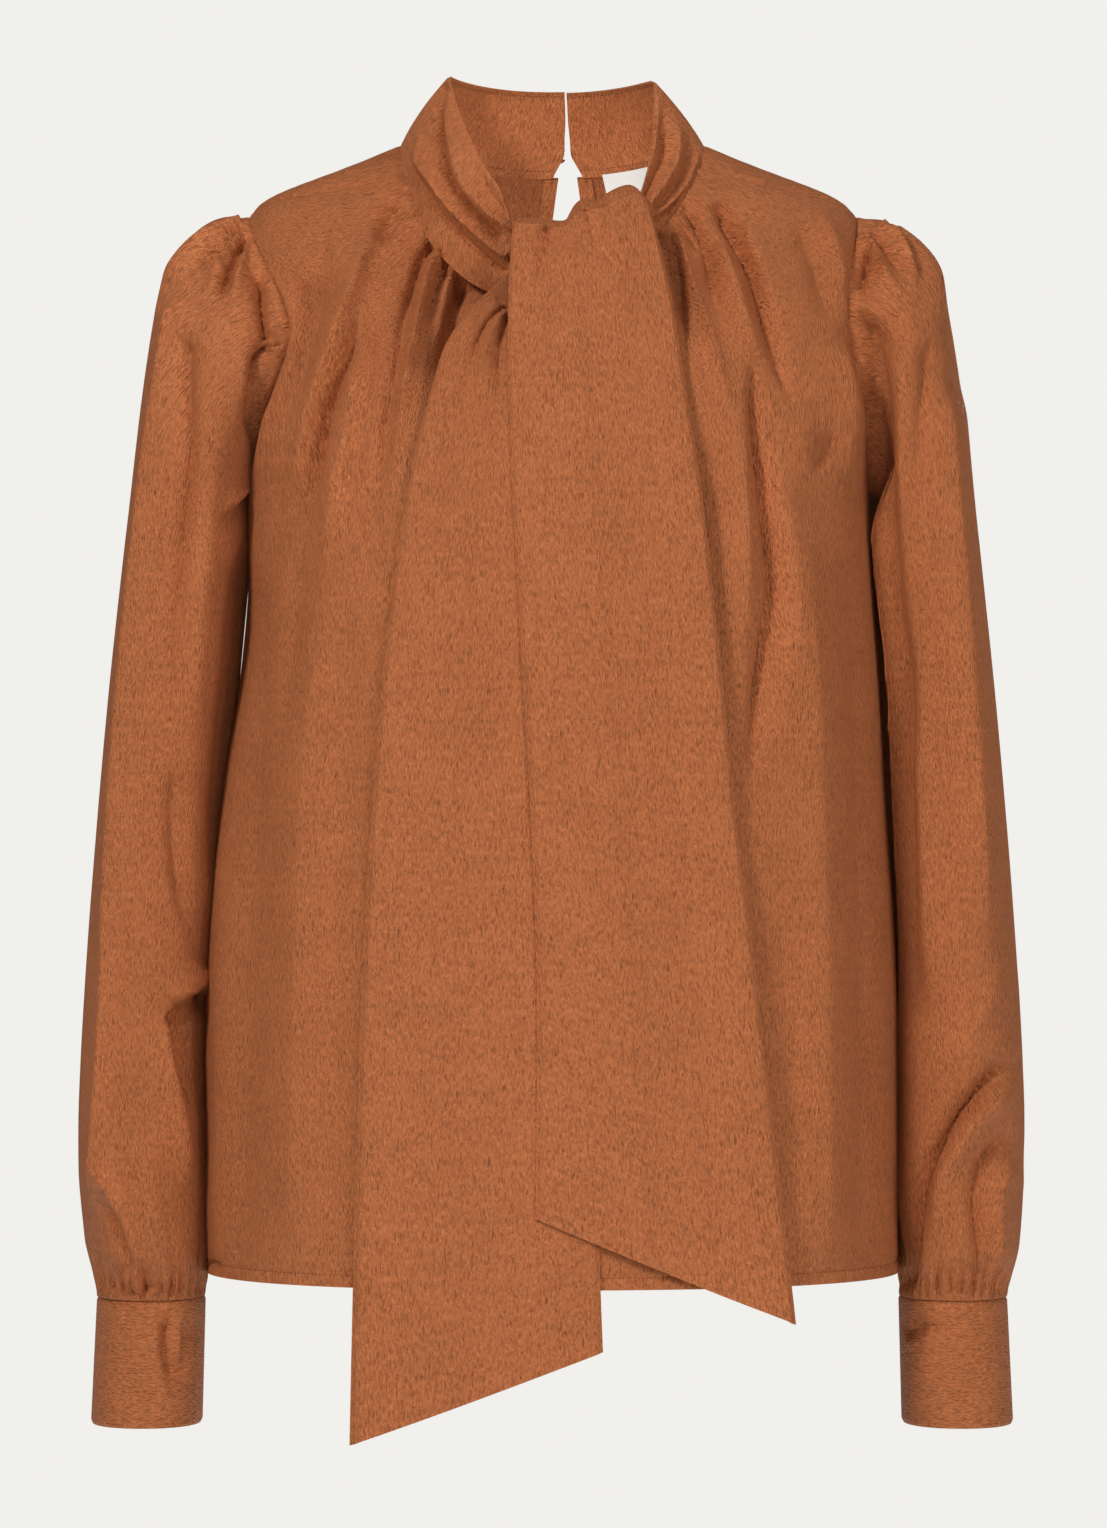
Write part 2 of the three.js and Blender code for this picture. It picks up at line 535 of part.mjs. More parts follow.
function frontPanel() {
  const rows = BODY_ROWS.map(({ level, front }) => {
    const left = panelEdge("left", "Front", level);
    const right = panelEdge("right", "Front", level);
    const gap = gapAngle(right, level);
    return anglesBetween(left + gap, right - gap, front).map((angle) => [angle, level]);
  });
  return wall([rows], bodySurface, CLOTH, BODY_MESH_STEP);
}

const OPENING_SEARCH = { start: 5, steps: 6 }; // first guess in degrees, and steps from there

// The angle of the back opening at a level, found by stepping towards its place
function openingAngle(level) {
  let fromMiddle = OPENING_SEARCH.start;
  for (let i = 0; i < OPENING_SEARCH.steps; i++) {
    fromMiddle *= BACK_OPENING_X / bodyPlain(180 - fromMiddle, level).x;
  }
  return 180 - fromMiddle;
}

// Half the keyhole's width as an angle
function keyholeHalfAngle(level) {
  if (level <= KEYHOLE_END_LEVEL) return 0;
  const angle = openingAngle(level);
  const middle = bodyPlain(angle, level);
  const half = along(KEYHOLE, "down", "half", middle.distanceTo(neckline(angle)));
  const perDegree = bodyPlain(angle - 1, level).distanceTo(middle);
  return Math.max(half, KEYHOLE_LEAST_HALF) / perDegree;
}

function backPanel() {
  const right = BODY_ROWS.map(({ level, back }) => {
    const edge = panelEdge("right", "Back", level);
    const to = openingAngle(level) - keyholeHalfAngle(level);
    return anglesBetween(edge + gapAngle(edge, level), to, back).map((angle) => [angle, level]);
  });
  const left = BODY_ROWS.map(({ level, back }) => {
    const edge = panelEdge("left", "Back", level) + 360;
    const from = openingAngle(level) + keyholeHalfAngle(level);
    return anglesBetween(from, edge - gapAngle(edge, level), back).map((angle) => [angle, level]);
  });
  return wall([right, left], bodySurface, CLOTH, BODY_MESH_STEP);
}

// The armhole as a closed loop from the shoulder point down the front and up the back
function armhole(side, turn) {
  const t = ((turn % 360) + 360) % 360;
  const face = t <= 180 ? "Front" : "Back";
  const share = t <= 180 ? t / 180 : (360 - t) / 180;
  const level = SHOULDER_LEVEL * (1 - share);
  const edge = panelEdge(side, face, level);
  return bodyPlain(edge, level);
}

// A sleeve's horizontal section: 0 outside, 90 at the front, 180 next to the body
function sleeveSection(side, turn, z) {
  const sign = side === "left" ? -1 : 1;
  const [s, c] = [Math.sin(radians(turn)), Math.cos(radians(turn))];
  const value = (column) => along(SLEEVE_SECTIONS, "z", column, z);
  const middle = (value("out") + value("inner")) / 2;
  const half = (value("out") - value("inner")) / 2;
  const centreY = (value("front") + value("back")) / 2;
  const depth = (value("back") - value("front")) / 2;
  const p = vector(
    sign * (middle + half * signedPower(c, SLEEVE_ROUNDNESS)),
    centreY - depth * signedPower(s, SLEEVE_ROUNDNESS),
    z,
  );
  return z > HEM_Z - HEM_CLEARANCE ? clearOfBody(p) : p;
}

// Moves a point out, level, until it is clear of the body
function clearOfBody(p) {
  const z = Math.min(p.z, UNDERARM_Z);
  const side = along(BODY_SECTIONS, "z", p.x < 0 ? "left" : "right", z) + BODY_CLEARANCE;
  const depth = along(BODY_SECTIONS, "z", p.y < 0 ? "front" : "back", z) + BODY_CLEARANCE;
  const power = 2 / ROUNDNESS;
  const inside = (Math.abs(p.x / side) ** power + Math.abs(p.y / depth) ** power) ** (1 / power);
  return inside < 1 ? vector(p.x / inside, p.y / inside, p.z) : p;
}

// How a sleeve's head puffs out of the armhole: out and up at the shoulder point, then down to
// the bicep, leaning. At the underarm it sinks, and each end pulls by a share of the way
const HEAD_PUFF = { out: 60, up: 7, down: 86, lean: 0.13, forward: 0.34, sink: 0.5, pull: 0.3 };

// A sleeve's plain surface: turn round it, and level from 1 at the armhole to 0 at the bicep and
// -1 at the cuff
function sleevePlain(side, turn, level) {
  if (level <= 0) {
    return sleeveSection(side, turn, lerp(SLEEVE_BEND_Z, SLEEVE_SECTIONS.at(-1).z, -level));
  }
  const sign = side === "left" ? -1 : 1;
  const [s, c] = [Math.sin(radians(turn)), Math.cos(radians(turn))];
  const top = (1 + c) / 2; // 1 at the shoulder point, 0 at the underarm
  const start = armhole(side, turn);
  start.x += sign * SEAM_GAP * 2;
  const end = sleeveSection(side, turn, SLEEVE_BEND_Z);
  const reach = start.distanceTo(end);
  const { out, up, down, lean, forward, sink, pull } = HEAD_PUFF;
  const leave = vector(sign, -forward * s, lerp(-sink, up / out, top))
    .normalize().multiplyScalar(lerp(reach * pull, out, top));
  const arrive = vector(-sign * lean * top, 0, 1).multiplyScalar(lerp(reach * pull, down, top));
  const curve = new THREE.CubicBezierCurve3(
    end, end.clone().add(arrive), start.clone().add(leave), start);
  return curve.getPoint(level);
}

function sleeveSurface(side, turn, level) {
  const plain = sleevePlain(side, turn, level);
  const t = ((turn % 360) + 360) % 360;
  const headTurn = t > 180 ? t - 360 : t;
  let lift = foldRelief(SLEEVE_FOLDS, t, plain.z) *
    smoothstep(Math.abs(t - 180), SLEEVE_FOLD_FADE.inner, SLEEVE_FOLD_FADE.outer);
  lift *= 1 - smoothstep(level, SLEEVE_HEAD_FADE, 1);
  if (level > 0) {
    const distance = plain.distanceTo(armhole(side, turn));
    lift += gatherRelief(SLEEVE_HEAD_GATHERS, HEAD_GATHER_WIDE, headTurn, distance);
  } else {
    const height = plain.z - SLEEVE_SECTIONS.at(-1).z;
    const { count, deep, long, swells, lengths, vary } = CUFF_GATHERS;
    const round = radians(turn);
    const wave = Math.cos(round * count) + Math.cos(round * swells + 1) / 2;
    const fade = 1 - smoothstep(height, 0, long * (1 + vary * Math.sin(round * lengths)));
    const flat = smoothstep(height, CUFF_GATHER_SEAM.from, CUFF_GATHER_SEAM.to);
    lift -= (deep * fade * flat * (1 + wave)) / 2;
  }
  const { a, b } = SLEEVE_STEP;
  const normal = normalOf((t2, level2) => sleevePlain(side, t2, level2), turn, level, a, b);
  const outward = side === "left" ? 1 : -1;
  return plain.addScaledVector(normal, lift * outward);
}

const SLEEVE_STEP = { a: 1, b: 0.01 };
// Levels of a sleeve's rings and how many points each has
const SLEEVE_RINGS = [
  { level: 1, count: 54 },
  { level: 0.93, count: 54 },
  { level: 0.82, count: 54 },
  { level: 0.66, count: 50 },
  { level: 0.46, count: 40 },
  { level: 0.24, count: 32 },
  { level: 0, count: 28 },
  { level: -0.14, count: 26 },
  { level: -0.3, count: 26 },
  { level: -0.46, count: 26 },
  { level: -0.62, count: 26 },
  { level: -0.76, count: 30 },
  { level: -0.86, count: 40 },
  { level: -0.93, count: 54 },
  { level: -0.975, count: 54 },
  { level: -1, count: 54 },
];

function sleeve(side) {
  const rings = SLEEVE_RINGS.map(({ level, count }) =>
    Array.from({ length: count }, (_, i) => [(360 * i) / count, level]));
  const outward = side === "left" ? 1 : -1;
  return wall([rings], (a, b) => sleeveSurface(side, a, b), CLOTH, SLEEVE_STEP, true, outward);
}

// Cuffs: turned as the sleeves are; the overlap with its two buttons lies outside, towards the back
const CUFF_OVERLAP = { from: 292, to: 338, step: 1.1, edge: 2, ease: 24 };
const CUFF_FLARE = 0.8; // a cuff's lower edge is this much larger all round
const CUFF_BUTTON_TURN = 316;
const CUFF_BUTTON_HEIGHTS = [0.28, 0.72];

function cuffSurface(side, turn, height) {
  const sign = side === "left" ? -1 : 1;
  const [s, c] = [Math.sin(radians(turn)), Math.cos(radians(turn))];
  const t = ((turn % 360) + 360) % 360;
  const { from, to, step, edge, ease } = CUFF_OVERLAP;
  const overlap = step * smoothstep(t, from - edge, from + edge) * (1 - smoothstep(t, to, to + ease));
  const grow = overlap + CUFF_FLARE * (1 - height);
  const centre = CUFF_CENTRE_X + CUFF_SLANT * (1 - height);
  return vector(
    sign * (centre + (CUFF_HALF_WIDE + grow) * signedPower(c, CUFF_ROUNDNESS)),
    -(CUFF_HALF_DEEP + grow) * signedPower(s, CUFF_ROUNDNESS),
    lerp(CUFF_BOTTOM_Z, CUFF_TOP_Z, height),
  );
}

const CUFF_RINGS = [1, 0.97, 0.5, 0.03, 0];
const CUFF_POINTS = 30;
const CUFF_STEP = { a: 1, b: 0.02 };

function cuff(side) {
  const rings = CUFF_RINGS.map((height) =>
    Array.from({ length: CUFF_POINTS }, (_, i) => [(360 * i) / CUFF_POINTS, height]));
  const outward = side === "left" ? 1 : -1;
  return wall([rings], (a, b) => cuffSurface(side, a, b), DOUBLE_CLOTH, CUFF_STEP, true, outward);
}

const BACK_OPENING = openingAngle(1);

// The collar: a standing band from the back opening round to the front, with the tie's lengthwise
// folds on its outside
const COLLAR_LIFT = 0.75;
const COLLAR_BOW = 3.5; // how far the band bulges between its two edges
const RIM_EASE = 0.14; // rounds the place where the rim begins to fall towards the front
const RIM_DEPTH = { front: NECK_FRONT + 8, back: NECK_BACK - 5, backSpread: 0.9 };
// Room under the collar for the lower end of the tie: it opens and closes over these degrees
const TUCK = { from: -66, full: -48, to: 12, shut: 24, out: 5.5, lift: 2.4 };
const COLLAR_STEP = { a: 0.4, b: 0.01 };

function collarPlain(side, angle, height) {
  const s = Math.sin(radians(angle));
  const c = Math.cos(radians(angle));
  const tuck = smoothstep(angle, TUCK.from, TUCK.full) * (1 - smoothstep(angle, TUCK.to, TUCK.shut));
  const out = TUCK.out * tuck;
  const base = neckline(angle).add(vector(s * out, -c * out, COLLAR_LIFT + TUCK.lift * tuck));
  const { drop, fall, spread, pressed, pressFrom, pressTo } = COLLAR_RIM[side];
  const press = pressed * (1 - smoothstep(Math.abs(angle), pressTo, pressFrom));
  const front = (c + Math.hypot(c, RIM_EASE)) / 2; // c at the front, fading to 0 at the back
  const depth = c > 0 ? RIM_DEPTH.front : RIM_DEPTH.back;
  const rim = vector(
    COLLAR_RIM_HALF_WIDE * signedPower(s, c > 0 ? spread : RIM_DEPTH.backSpread),
    -depth * c,
    COLLAR_RIM_Z - drop * front ** fall - press - COLLAR_RIM_BACK_DROP * Math.max(-c, 0) ** 2,
  );
  const p = base.lerp(rim, height);
  const bow = COLLAR_BOW * 4 * height * (1 - height);
  return p.add(vector(s * bow, -c * bow, 0));
}

function collarSurface(side, angle, height) {
  const p = collarPlain(side, angle, height);
  let lift = 0;
  for (const f of COLLAR_FOLDS[side]) {
    const t = (angle - f.from) / (f.to - f.from);
    if (t <= 0) continue;
    const middle = lerp(f.back, f.front, Math.min(t, 1) ** COLLAR_FOLD.course);
    const fade = smoothstep(t, 0, COLLAR_FOLD.start) * (1 - smoothstep(t, COLLAR_FOLD.end, 1));
    lift += f.rise * fade * Math.exp(-(((height - middle) / f.wide) ** 2));
  }
  lift *= smoothstep(height, 0, COLLAR_FOLD.seam);
  const plain = (a, b) => collarPlain(side, a, b);
  const normal = normalOf(plain, angle, height, COLLAR_STEP.a, COLLAR_STEP.b);
  return p.addScaledVector(normal, lift);
}

const COLLAR_HEIGHTS = [0, 0.07, 0.16, 0.26, 0.36, 0.46, 0.56, 0.66, 0.76, 0.86, 0.94, 1];
const COLLAR_POINTS = 24;
const COLLAR_OPENING_HALF = 1.5; // degrees, half the gap between the two ends at the back

function collar(side) {
  const [from, to] = side === "left"
    ? [BACK_OPENING - 360 + COLLAR_OPENING_HALF, COLLAR_FRONT_END.left]
    : [COLLAR_FRONT_END.right, BACK_OPENING - COLLAR_OPENING_HALF];
  const rows = COLLAR_HEIGHTS.map((height) =>
    spaced(from, to, COLLAR_POINTS).map((angle) => [angle, height]));
  return wall([rows], (a, b) => collarSurface(side, a, b), DOUBLE_CLOTH, COLLAR_STEP);
}

// The surface that the tie's ends hang on
function tieSurface(x, z, lift) {
  const forward = along(TIE_DRAPE, "z", "forward", z) + lift;
  const half = along(TIE_DRAPE, "z", "half", z) + lift;
  const power = 2 / ROUNDNESS;
  return vector(x, -forward * (1 - Math.abs(x / half) ** power) ** (1 / power), z);
}

// A place on a hanging end: a share of its width, and a row number of its table
function endPlace(table, share, row) {
  const numbered = table.map((r, i) => ({ ...r, i }));
  const value = (column) => along(numbered, "i", column, row);
  return [
    lerp(value("leftX"), value("rightX"), share),
    lerp(value("leftZ"), value("rightZ"), share),
  ];
}

function underEndSurface(share, row) {
  const [x, z] = endPlace(UNDER_END, share, row);
  const lift = foldRelief(UNDER_END_PLEATS, x, z);
  const tuck = UNDER_END_TUCK.back * (1 - smoothstep(row, 0, UNDER_END_TUCK.rows));
  return tieSurface(x, z, 0).add(vector(0, -lift + tuck, 0));
}

function overEndSurface(share, row) {
  const turns = OVER_TURN.length;
  if (row < turns) {
    const numbered = OVER_TURN.map((r, i) => ({ ...r, i }));
    const value = (column) => along(numbered, "i", column, Math.min(row, turns - 1));
    const turn = vector(
      lerp(value("leftX"), value("rightX"), share),
      lerp(value("leftY"), value("rightY"), share),
      lerp(value("leftZ"), value("rightZ"), share),
    );
    const grown = smoothstep(row, OVER_CROWN.from, OVER_CROWN.to);
    turn.y -= OVER_CROWN.high * 4 * share * (1 - share) * grown;
    if (row <= turns - 1) return turn;
    return turn.lerp(overEndSurface(share, turns), row - turns + 1);
  }
  const [x, z] = endPlace(OVER_END, share, row - turns);
  return tieSurface(x, z, OVER_END_LIFT);
}

const TIE_STEP = { a: 0.01, b: 0.02 };
const TIE_COLUMNS = { under: 15, over: 13 };

function hangingEnd(surface, rowCount, columns) {
  const rows = spaced(0, rowCount - 1, rowCount).map((row) =>
    spaced(0, 1, columns).map((share) => [share, row]));
  return wall([rows], surface, CLOTH, TIE_STEP, false, -1);
}

// Half the outline of a domed button, from the middle of its back round to the top of its dome
const BUTTON_RADIUS = 4.6;
const BUTTON_OUTLINE = [
  { out: 0, up: 0 },
  { out: 4, up: 0 },
  { out: BUTTON_RADIUS, up: 0.65 },
  { out: 4.15, up: 1.6 },
  { out: 2.3, up: 2.4 },
  { out: 0, up: 2.7 },
];
const BUTTON_SIDES = 12;

// A button whose back lies on a surface, turned to face along its normal
function button(place, normal) {
  const profile = BUTTON_OUTLINE.map(({ out, up }) => new THREE.Vector2(out, up));
  const geometry = new THREE.LatheGeometry(profile, BUTTON_SIDES);
  const turn = new THREE.Quaternion().setFromUnitVectors(vector(0, 1, 0), normal);
  const seat = place.clone().addScaledVector(normal, SEAM_GAP);
  return geometry.applyQuaternion(turn).translate(...seat.toArray());
}

// Buttons of the back opening sit on the left end of the collar, near its edge
const NECK_BUTTON_ANGLE = BACK_OPENING - 360 + 7.5;
const NECK_BUTTON_HEIGHTS = [0.25, 0.77];

// The place of a neck button on the collar and the way that it faces
function neckButtonSeat(height) {
  const surface = (a, b) => collarSurface("left", a, b);
  const normal = normalOf(surface, NECK_BUTTON_ANGLE, height, COLLAR_STEP.a, COLLAR_STEP.b);
  return { place: surface(NECK_BUTTON_ANGLE, height), normal };
}

function neckButton(height) {
  const { place, normal } = neckButtonSeat(height);
  return button(place, normal);
}

// A loop of rouleau cord from the right end of the collar round a neck button. Half its path is
// given from the button's middle, towards the opening and up, in reaches of the loop
const LOOP_CORD = 0.9;
const LOOP_REACH = BUTTON_RADIUS + LOOP_CORD + 0.5;
const LOOP_PATH = [
  { along: 1.58, up: 0.42 },
  { along: 0.67, up: 0.86 },
  { along: 0, up: 1 },
  { along: -0.72, up: 0.7 },
  { along: -1, up: 0 },
];
const LOOP_MESH = { steps: 24, curveSegments: 3 };

function neckLoop(height) {
  const { place, normal } = neckButtonSeat(height);
  const opening = collarSurface("left", BACK_OPENING - 360 + COLLAR_OPENING_HALF, height);
  const right = opening.sub(place).normalize();
  const up = normal.clone().cross(right).normalize();
  const lowerHalf = LOOP_PATH.slice(0, -1).reverse().map((p) => ({ along: p.along, up: -p.up }));
  const path = [...LOOP_PATH, ...lowerHalf].map((p) => place.clone()
    .addScaledVector(right, p.along * LOOP_REACH)
    .addScaledVector(up, p.up * LOOP_REACH)
    .addScaledVector(normal, LOOP_CORD + SEAM_GAP));
  const section = new THREE.Shape().absarc(0, 0, LOOP_CORD, 0, Math.PI * 2);
  const extrudePath = new THREE.CatmullRomCurve3(path);
  return new THREE.ExtrudeGeometry(section, { extrudePath, ...LOOP_MESH });
}

// Cuff buttons sit on the overlap
function cuffButton(side, height) {
  const surface = (a, b) => cuffSurface(side, a, b);
  const outward = side === "left" ? 1 : -1;
  const normal = normalOf(surface, CUFF_BUTTON_TURN, height, CUFF_STEP.a, CUFF_STEP.b);
  return button(surface(CUFF_BUTTON_TURN, height), normal.multiplyScalar(outward));
}

// A narrow binding that lies against the inside of the keyhole's edge, all the way round
function keyholeBinding() {
  const slitLevels = BODY_ROWS.map((row) => row.level)
    .filter((level) => level >= KEYHOLE_END_LEVEL && level < 1);
  const levels = [KEYHOLE_END_LEVEL - KEYHOLE_BINDING_BELOW, ...slitLevels];
  const under = (angle, level) => {
    const normal = normalOf(bodySurface, angle, level, BODY_STEP.angle, BODY_STEP.level);
    return bodySurface(angle, level).addScaledVector(normal, -CLOTH - SEAM_GAP);
  };
  const strips = [1, -1].map((sign) =>
    levels.map((level) => {
      const middle = openingAngle(level);
      const perDegree = bodyPlain(middle - 1, level).distanceTo(bodyPlain(middle, level));
      const inner = middle - sign * keyholeHalfAngle(level);
      const outer = inner - (sign * KEYHOLE_BINDING_WIDE) / perDegree;
      const row = [[outer, level], [lerp(outer, inner, 0.5), level], [inner, level]];
      return sign > 0 ? row : row.reverse();
    }));
  return wall(strips, under, BINDING_THICK, BODY_MESH_STEP);
}

const LABEL_MESH = { rows: 4, columns: 7, step: { a: 0.3, b: 0.3 } };

// A blank woven label, sewn in beside the opening and hanging inside the back
function label() {
  const surface = (angle, down) => {
    const [s, c] = [Math.sin(radians(angle)), Math.cos(radians(angle))];
    return neckline(angle).add(vector(-LABEL.inward * s, LABEL.inward * c, -LABEL.below - down));
  };
  const rows = spaced(0, LABEL.tall, LABEL_MESH.rows).map((down) =>
    spaced(LABEL.from, LABEL.to, LABEL_MESH.columns).map((angle) => [angle, down]));
  return wall([rows], surface, LABEL.thick, LABEL_MESH.step);
}

addPiece("front", frontPanel(), COPPER);
addPiece("back", backPanel(), COPPER);
for (const side of ["left", "right"]) {
  addPiece(`sleeve_${side}`, sleeve(side), COPPER);
  addPiece(`cuff_${side}`, cuff(side), COPPER);
  CUFF_BUTTON_HEIGHTS.forEach((height, i) =>
    addPiece(`cuff_button_${side}_${i + 1}`, cuffButton(side, height), COPPER));
  addPiece(`collar_${side}`, collar(side), COPPER);
}
addPiece("tie_under_end", hangingEnd(underEndSurface, UNDER_END.length, TIE_COLUMNS.under),
  COPPER);
addPiece("tie_over_end",
  hangingEnd(overEndSurface, OVER_TURN.length + OVER_END.length, TIE_COLUMNS.over), COPPER);
NECK_BUTTON_HEIGHTS.forEach((height, i) => {
  addPiece(`neck_button_${i + 1}`, neckButton(height), COPPER);
  addPiece(`neck_loop_${i + 1}`, neckLoop(height), COPPER);
});
addPiece("keyhole_binding", keyholeBinding(), COPPER_INSIDE);
addPiece("label", label(), LABEL_WHITE);

export default blouse;
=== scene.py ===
"""A tie-neck blouse in crinkled satin crepe, hollow and filled out as it is when it is worn.

Lengths are in millimetres, and MM turns them into Blender's metres. The front faces -Y. A place on
the body is an angle round it (0 at the centre front, 90 at the picture's right, 180 at the back)
and a level: -1 at the hem, 0 at the underarm and 1 at the neckline. Creases are laid out as the
camera sees them, on the upright plane through the shoulders.
"""
import math

import bpy
import numpy as np
from mathutils import Matrix, Vector


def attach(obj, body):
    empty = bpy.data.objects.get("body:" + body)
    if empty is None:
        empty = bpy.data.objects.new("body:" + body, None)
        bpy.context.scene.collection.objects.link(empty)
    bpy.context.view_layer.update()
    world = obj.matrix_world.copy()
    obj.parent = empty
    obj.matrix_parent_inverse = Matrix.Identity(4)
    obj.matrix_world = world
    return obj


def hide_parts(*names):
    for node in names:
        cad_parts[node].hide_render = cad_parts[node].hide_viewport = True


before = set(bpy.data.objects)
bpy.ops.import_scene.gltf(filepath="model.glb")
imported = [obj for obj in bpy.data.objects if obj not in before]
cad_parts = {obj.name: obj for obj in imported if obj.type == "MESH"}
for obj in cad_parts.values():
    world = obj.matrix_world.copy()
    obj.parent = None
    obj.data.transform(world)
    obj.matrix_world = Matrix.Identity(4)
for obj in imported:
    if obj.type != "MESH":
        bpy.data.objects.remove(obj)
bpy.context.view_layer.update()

MM = 0.001

# Camera: the photograph's frame, and the size of one of its pixels on the plane of the shoulders
PHOTO_TALL = 1528
PIXEL = 0.56
CAMERA_X, CAMERA_AWAY, CAMERA_Z = 0.8, 3000, -338
SENSOR = 36

# Cloth: its walls, and how it rolls in at seams and edges
SINGLE = 0.7
DOUBLE = 1.4
SMOOTH_ANGLE = 50
MERGE = 0.02
SEAM_ROLL, SEAM_ROLL_WIDE, NECK_ROLL = 1.3, 3.5, 0.6
SHOULDER_ROLL_SHARE = 0.8
ROLL_COMES, ROLL_GOES = 0.04, 0.03
HEM_DEEP, HEM_GROOVE, HEM_GROOVE_WIDE, HEM_TURN = 6.4, 0.9, 1.2, 0.3
CUFF_EDGE = {"fade": 8, "roll": 0.9, "wide": 2.2}
COLLAR_EDGE = {"fade": 0.06, "roll": 0.8, "wide": 0.04}

# Stitches. The hem's run between two angles on each face
STITCH_LONG, STITCH_STEP, STITCH_THICK, STITCH_PROUD = 1.3, 2.2, 0.5, 0.12
STITCH_SIDES, STITCH_RINGS = 6, 5
HEM_STITCHED = {"front": (-89, 89), "back": (91, 269)}
HEM_STITCH_POINTS, COLLAR_STITCH_POINTS = 400, 300
COLLAR_RIM_STITCHES, COLLAR_SEAM_STITCHES = 0.945, 0.05

# Columns and rows of each piece of cloth
GRIDS = {
    "front": (300, 156),
    "back half": (80, 140),
    "sleeve": (200, 240),
    "cuff": (140, 36),
    "collar": (220, 56),
    "under end": (56, 220),
    "over end": (56, 250),
    "facing": (10, 60),
    "label": (40, 26),
}

# The left and the right of the picture
SIGN = {"left": -1, "right": 1}

# Body
HEM_Z, UNDERARM_Z = -621, -185
SHOULDER_LEVEL = 0.53
NECK_HALF_WIDE, NECK_FRONT, NECK_BACK = 84, 58, 50
NECK_SIDE_Z, NECK_FRONT_DROP, NECK_PULL, NECK_BACK_DROP = 9, 93, 13, 13
NECK_CURVE_FRONT, NECK_CURVE_BACK = 1.35, 1.5
SHOULDER_SEAM_FORWARD = 15
ROUNDNESS = 2 / 2.25
YOKE_SPREAD = 0.6
LEAN_STEP = 10
SIDE_LEAN_LEFT, SIDE_LEAN_RIGHT = -0.05, -0.02
ARMHOLE_CUT = {"left front": 31, "right front": 21, "left back": 27, "right back": 24}
ARMHOLE_FULLNESS = 0.7
BACK_OPENING_X = 9
OPENING_FIRST_GUESS, OPENING_GUESSES = 5.0, 6


def columns(names, *rows):
    """A table as named columns."""
    return dict(zip(names.split(), np.array(rows, float).T))


BODY_SECTIONS = columns(
    "z left right front back",
    (-185, 165, 177, 112, 97),
    (-230, 169, 179.5, 118, 98),
    (-290, 175, 184, 121, 96),
    (-360, 182.5, 187.5, 122, 95),
    (-445, 191, 192.5, 122, 97),
    (-530, 193, 194, 122, 99),
    (-640, 193, 193.5, 121, 101),
)
YOKE_SHAPE = {
    "front": {"fall": 48, "neck_pull": 40, "body_pull": 45},
    "side": {"fall": 24, "neck_pull": 124, "body_pull": 193},
    "back": {"fall": 58, "neck_pull": 60, "body_pull": 90},
}
SLEEVE_SECTIONS = columns(
    "z out inner front back",
    (-215, 237.5, 168, -57, 60),
    (-300, 247, 176, -55, 59),
    (-392, 255.4, 184, -53, 57),
    (-459, 260.7, 190, -54, 56),
    (-526, 263.8, 192, -57, 54),
    (-571, 263.3, 191, -55, 51),
    (-605, 261, 191, -49, 46),
    (-624, 257.2, 192, -41, 40),
    (-635.1, 254.6, 194.4, -35.4, 35.4),
)
SLEEVE_BEND_Z, SLEEVE_END_Z = -215, -635.1
SLEEVE_ROUNDNESS = 0.92
BODY_CLEARANCE, HEM_CLEARANCE = -1, 25
HEAD_PUFF = {
    "out": 60, "up": 7, "down": 86, "lean": 0.13, "forward": 0.34, "sink": 0.5, "pull": 0.3, "aside": 0.25,
}

# Cuffs
CUFF_TOP_Z, CUFF_BOTTOM_Z = -635.5, -706
CUFF_CENTRE_X, CUFF_SLANT = 224.3, 2.6
CUFF_HALF_WIDE, CUFF_HALF_DEEP, CUFF_ROUNDNESS, CUFF_FLARE = 30.3, 35, 0.94, 0.8
CUFF_OVERLAP = {"start": 292, "end": 338, "step": 1.1, "edge": 2, "ease": 24}
CUFF_BUTTON_TURN, CUFF_BUTTON_HEIGHTS = 316, (0.28, 0.72)

# Collar
COLLAR_RIM_Z, COLLAR_RIM_BACK_DROP, COLLAR_RIM_HALF_WIDE = 48.5, 4.5, 57.5
COLLAR_LIFT, COLLAR_BOW, COLLAR_BELOW, RIM_EASE = 0.75, 2.2, 0.045, 0.14
RIM_DEPTH_FRONT, RIM_DEPTH_BACK, RIM_BACK_SPREAD = NECK_FRONT + 8, NECK_BACK - 5, 0.9
COLLAR_RIM = {
    "left": {"drop": 87, "fall": 1.6, "spread": 1, "pressed": 13, "press_from": 32, "press_to": 21},
    "right": {"drop": 98, "fall": 1, "spread": 0.43, "pressed": 3, "press_from": 60, "press_to": 45},
}
COLLAR_FRONT_END = {"left": 8, "right": 14}
COLLAR_OPENING = columns(
    "height half", (-0.1, 6.4), (0, 5.4), (0.12, 3.4), (0.24, 1.5), (0.45, 1.1), (0.65, 0.6), (1, 0.5)
)
TUCK = {"start": -66, "full": -48, "end": 12, "shut": 24, "out": 4.2, "lift": 1}

# Keyhole
KEYHOLE = columns("down half", (0, 5.4), (18, 7.6), (38, 9.6), (62, 9.8), (82, 7), (96, 2.6), (102, 0))
KEYHOLE_END_LEVEL, KEYHOLE_LEAST_HALF = 0.46, 0.6
KEYHOLE_FLAT = {"near": 10, "far": 34, "above": 0.4}
FACING = {"wide": 8.4, "below": 0.05, "top": 0.995, "inward": 1.3, "thick": 0.6}

